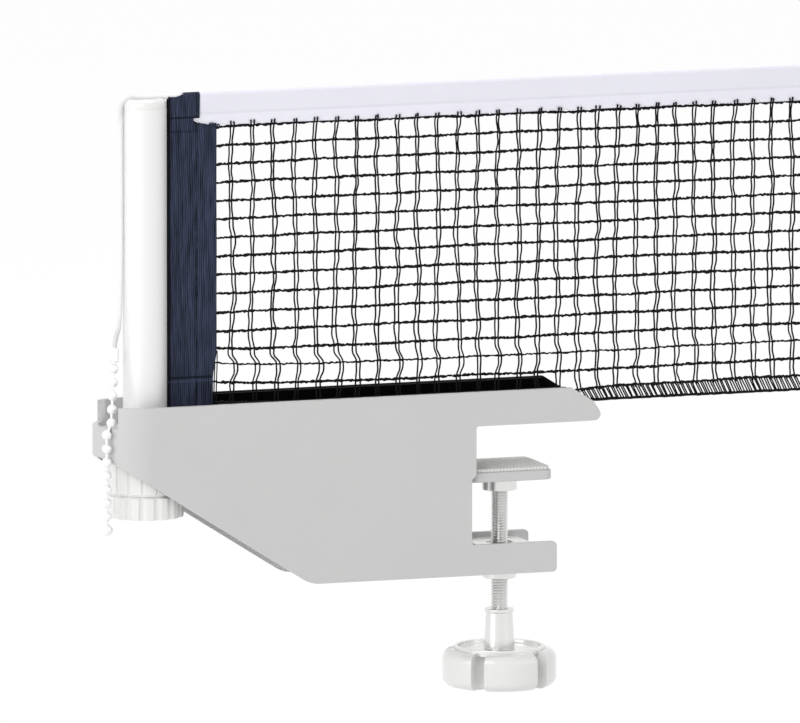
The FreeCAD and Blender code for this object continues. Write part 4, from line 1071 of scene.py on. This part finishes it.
class NETCLAMP_OT_jaw(bpy.types.Operator):
    """Finishes the pressure plate, its pad and its cup, and rounds the star knob, dish and hub"""

    bl_idname = "netclamp.jaw"
    bl_label = "Pressure plate and star knob"

    def execute(self, context):
        colours = context.scene.net_clamp_colours
        round_off(colours, pressure_plate=0.0006, pressure_pad=0.0003, swivel_cup=0.0004,
                  knob_hub=0.0003, knob_dish=0.0003, star_knob=0.0013)
        dress(["screw_clip"], finish_for("zinc_steel", colours))
        return {"FINISHED"}


class NETCLAMP_OT_screw(bpy.types.Operator):
    """Cuts the clamp screw's thread"""

    bl_idname = "netclamp.screw"
    bl_label = "Clamp screw"

    def execute(self, context):
        low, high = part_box("clamp_screw")
        pitch = context.scene.net_clamp_sizes.screw_pitch
        depth = 0.6134 * pitch
        crest = (high[0] - low[0]) / 2
        root = crest - depth
        steps = 20
        turns = int((high[2] - low[2]) / pitch) + 3
        bm = bmesh.new()
        start = low[2] - pitch
        ridge = [bm.verts.new((reach, 0, start + pitch * share))
                 for reach, share in ((root, 0), (crest, 0.44), (crest, 0.56), (root, 1))]
        edges = [bm.edges.new(pair) for pair in zip(ridge, ridge[1:])]
        bmesh.ops.spin(bm, geom=ridge + edges, cent=(0, 0, 0), axis=(0, 0, 1), dvec=(0, 0, pitch / steps),
                       angle=2 * math.pi * turns, steps=steps * turns, use_merge=False)
        bmesh.ops.remove_doubles(bm, verts=bm.verts, dist=1e-6)
        for height, way in ((low[2], -1), (high[2], 1)):
            cut_beyond(bm, (0, 0, height), (0, 0, way))
            rim = [edge for edge in bm.edges if edge.is_boundary and abs(edge.verts[0].co.z - height) < 1e-6]
            bmesh.ops.holes_fill(bm, edges=rim, sides=0)
        bmesh.ops.recalc_face_normals(bm, faces=bm.faces)
        finish = finish_for("zinc_steel", context.scene.net_clamp_colours)
        add_shape("threaded_screw", bm, "screw", "zinc_steel", finish, "clamp_screw")
        return {"FINISHED"}


class NETCLAMP_OT_chain(bpy.types.Operator):
    """Finishes the ball chain, its connector and the cord's stop"""

    bl_idname = "netclamp.chain"
    bl_label = "Ball chain"

    def execute(self, context):
        colours = context.scene.net_clamp_colours
        round_off(colours, cord_stop=0.0006)
        dress(["chain_connector", "chain_balls", "chain_links", "chain_end"], bead_plating(colours))
        return {"FINISHED"}


OPERATORS = [
    NETCLAMP_OT_stage,
    NETCLAMP_OT_bracket,
    NETCLAMP_OT_post,
    NETCLAMP_OT_jaw,
    NETCLAMP_OT_screw,
    NETCLAMP_OT_chain,
    NETCLAMP_OT_cord,
    NETCLAMP_OT_tape,
    NETCLAMP_OT_bands,
    NETCLAMP_OT_netting,
]


class NETCLAMP_PT_panel(bpy.types.Panel):
    """Lists the pieces of the net clamp with their sizes and colours"""

    bl_idname = "NETCLAMP_PT_panel"
    bl_label = "Net Clamp"
    bl_space_type = "VIEW_3D"
    bl_region_type = "UI"
    bl_category = "Net Clamp"

    def draw(self, context):
        for group in (context.scene.net_clamp_sizes, context.scene.net_clamp_colours):
            box = self.layout.box()
            for name in group.__annotations__:
                box.prop(group, name)
        for item in OPERATORS:
            self.layout.operator(item.bl_idname)


CLASSES = [NetClampSizes, NetClampColours, *OPERATORS, NETCLAMP_PT_panel]


def register():
    for item in CLASSES:
        bpy.utils.register_class(item)
    bpy.types.Scene.net_clamp_sizes = bpy.props.PointerProperty(type=NetClampSizes)
    bpy.types.Scene.net_clamp_colours = bpy.props.PointerProperty(type=NetClampColours)


def unregister():
    del bpy.types.Scene.net_clamp_colours
    del bpy.types.Scene.net_clamp_sizes
    for item in reversed(CLASSES):
        bpy.utils.unregister_class(item)


def main():
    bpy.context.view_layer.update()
    register()
    bpy.ops.netclamp.stage()
    bpy.ops.netclamp.bracket()
    bpy.ops.netclamp.post()
    bpy.ops.netclamp.jaw()
    bpy.ops.netclamp.screw()
    bpy.ops.netclamp.chain()
    bpy.ops.netclamp.cord()
    bpy.ops.netclamp.tape()
    bpy.ops.netclamp.bands()
    bpy.ops.netclamp.netting()


if __name__ == "__main__":
    main()
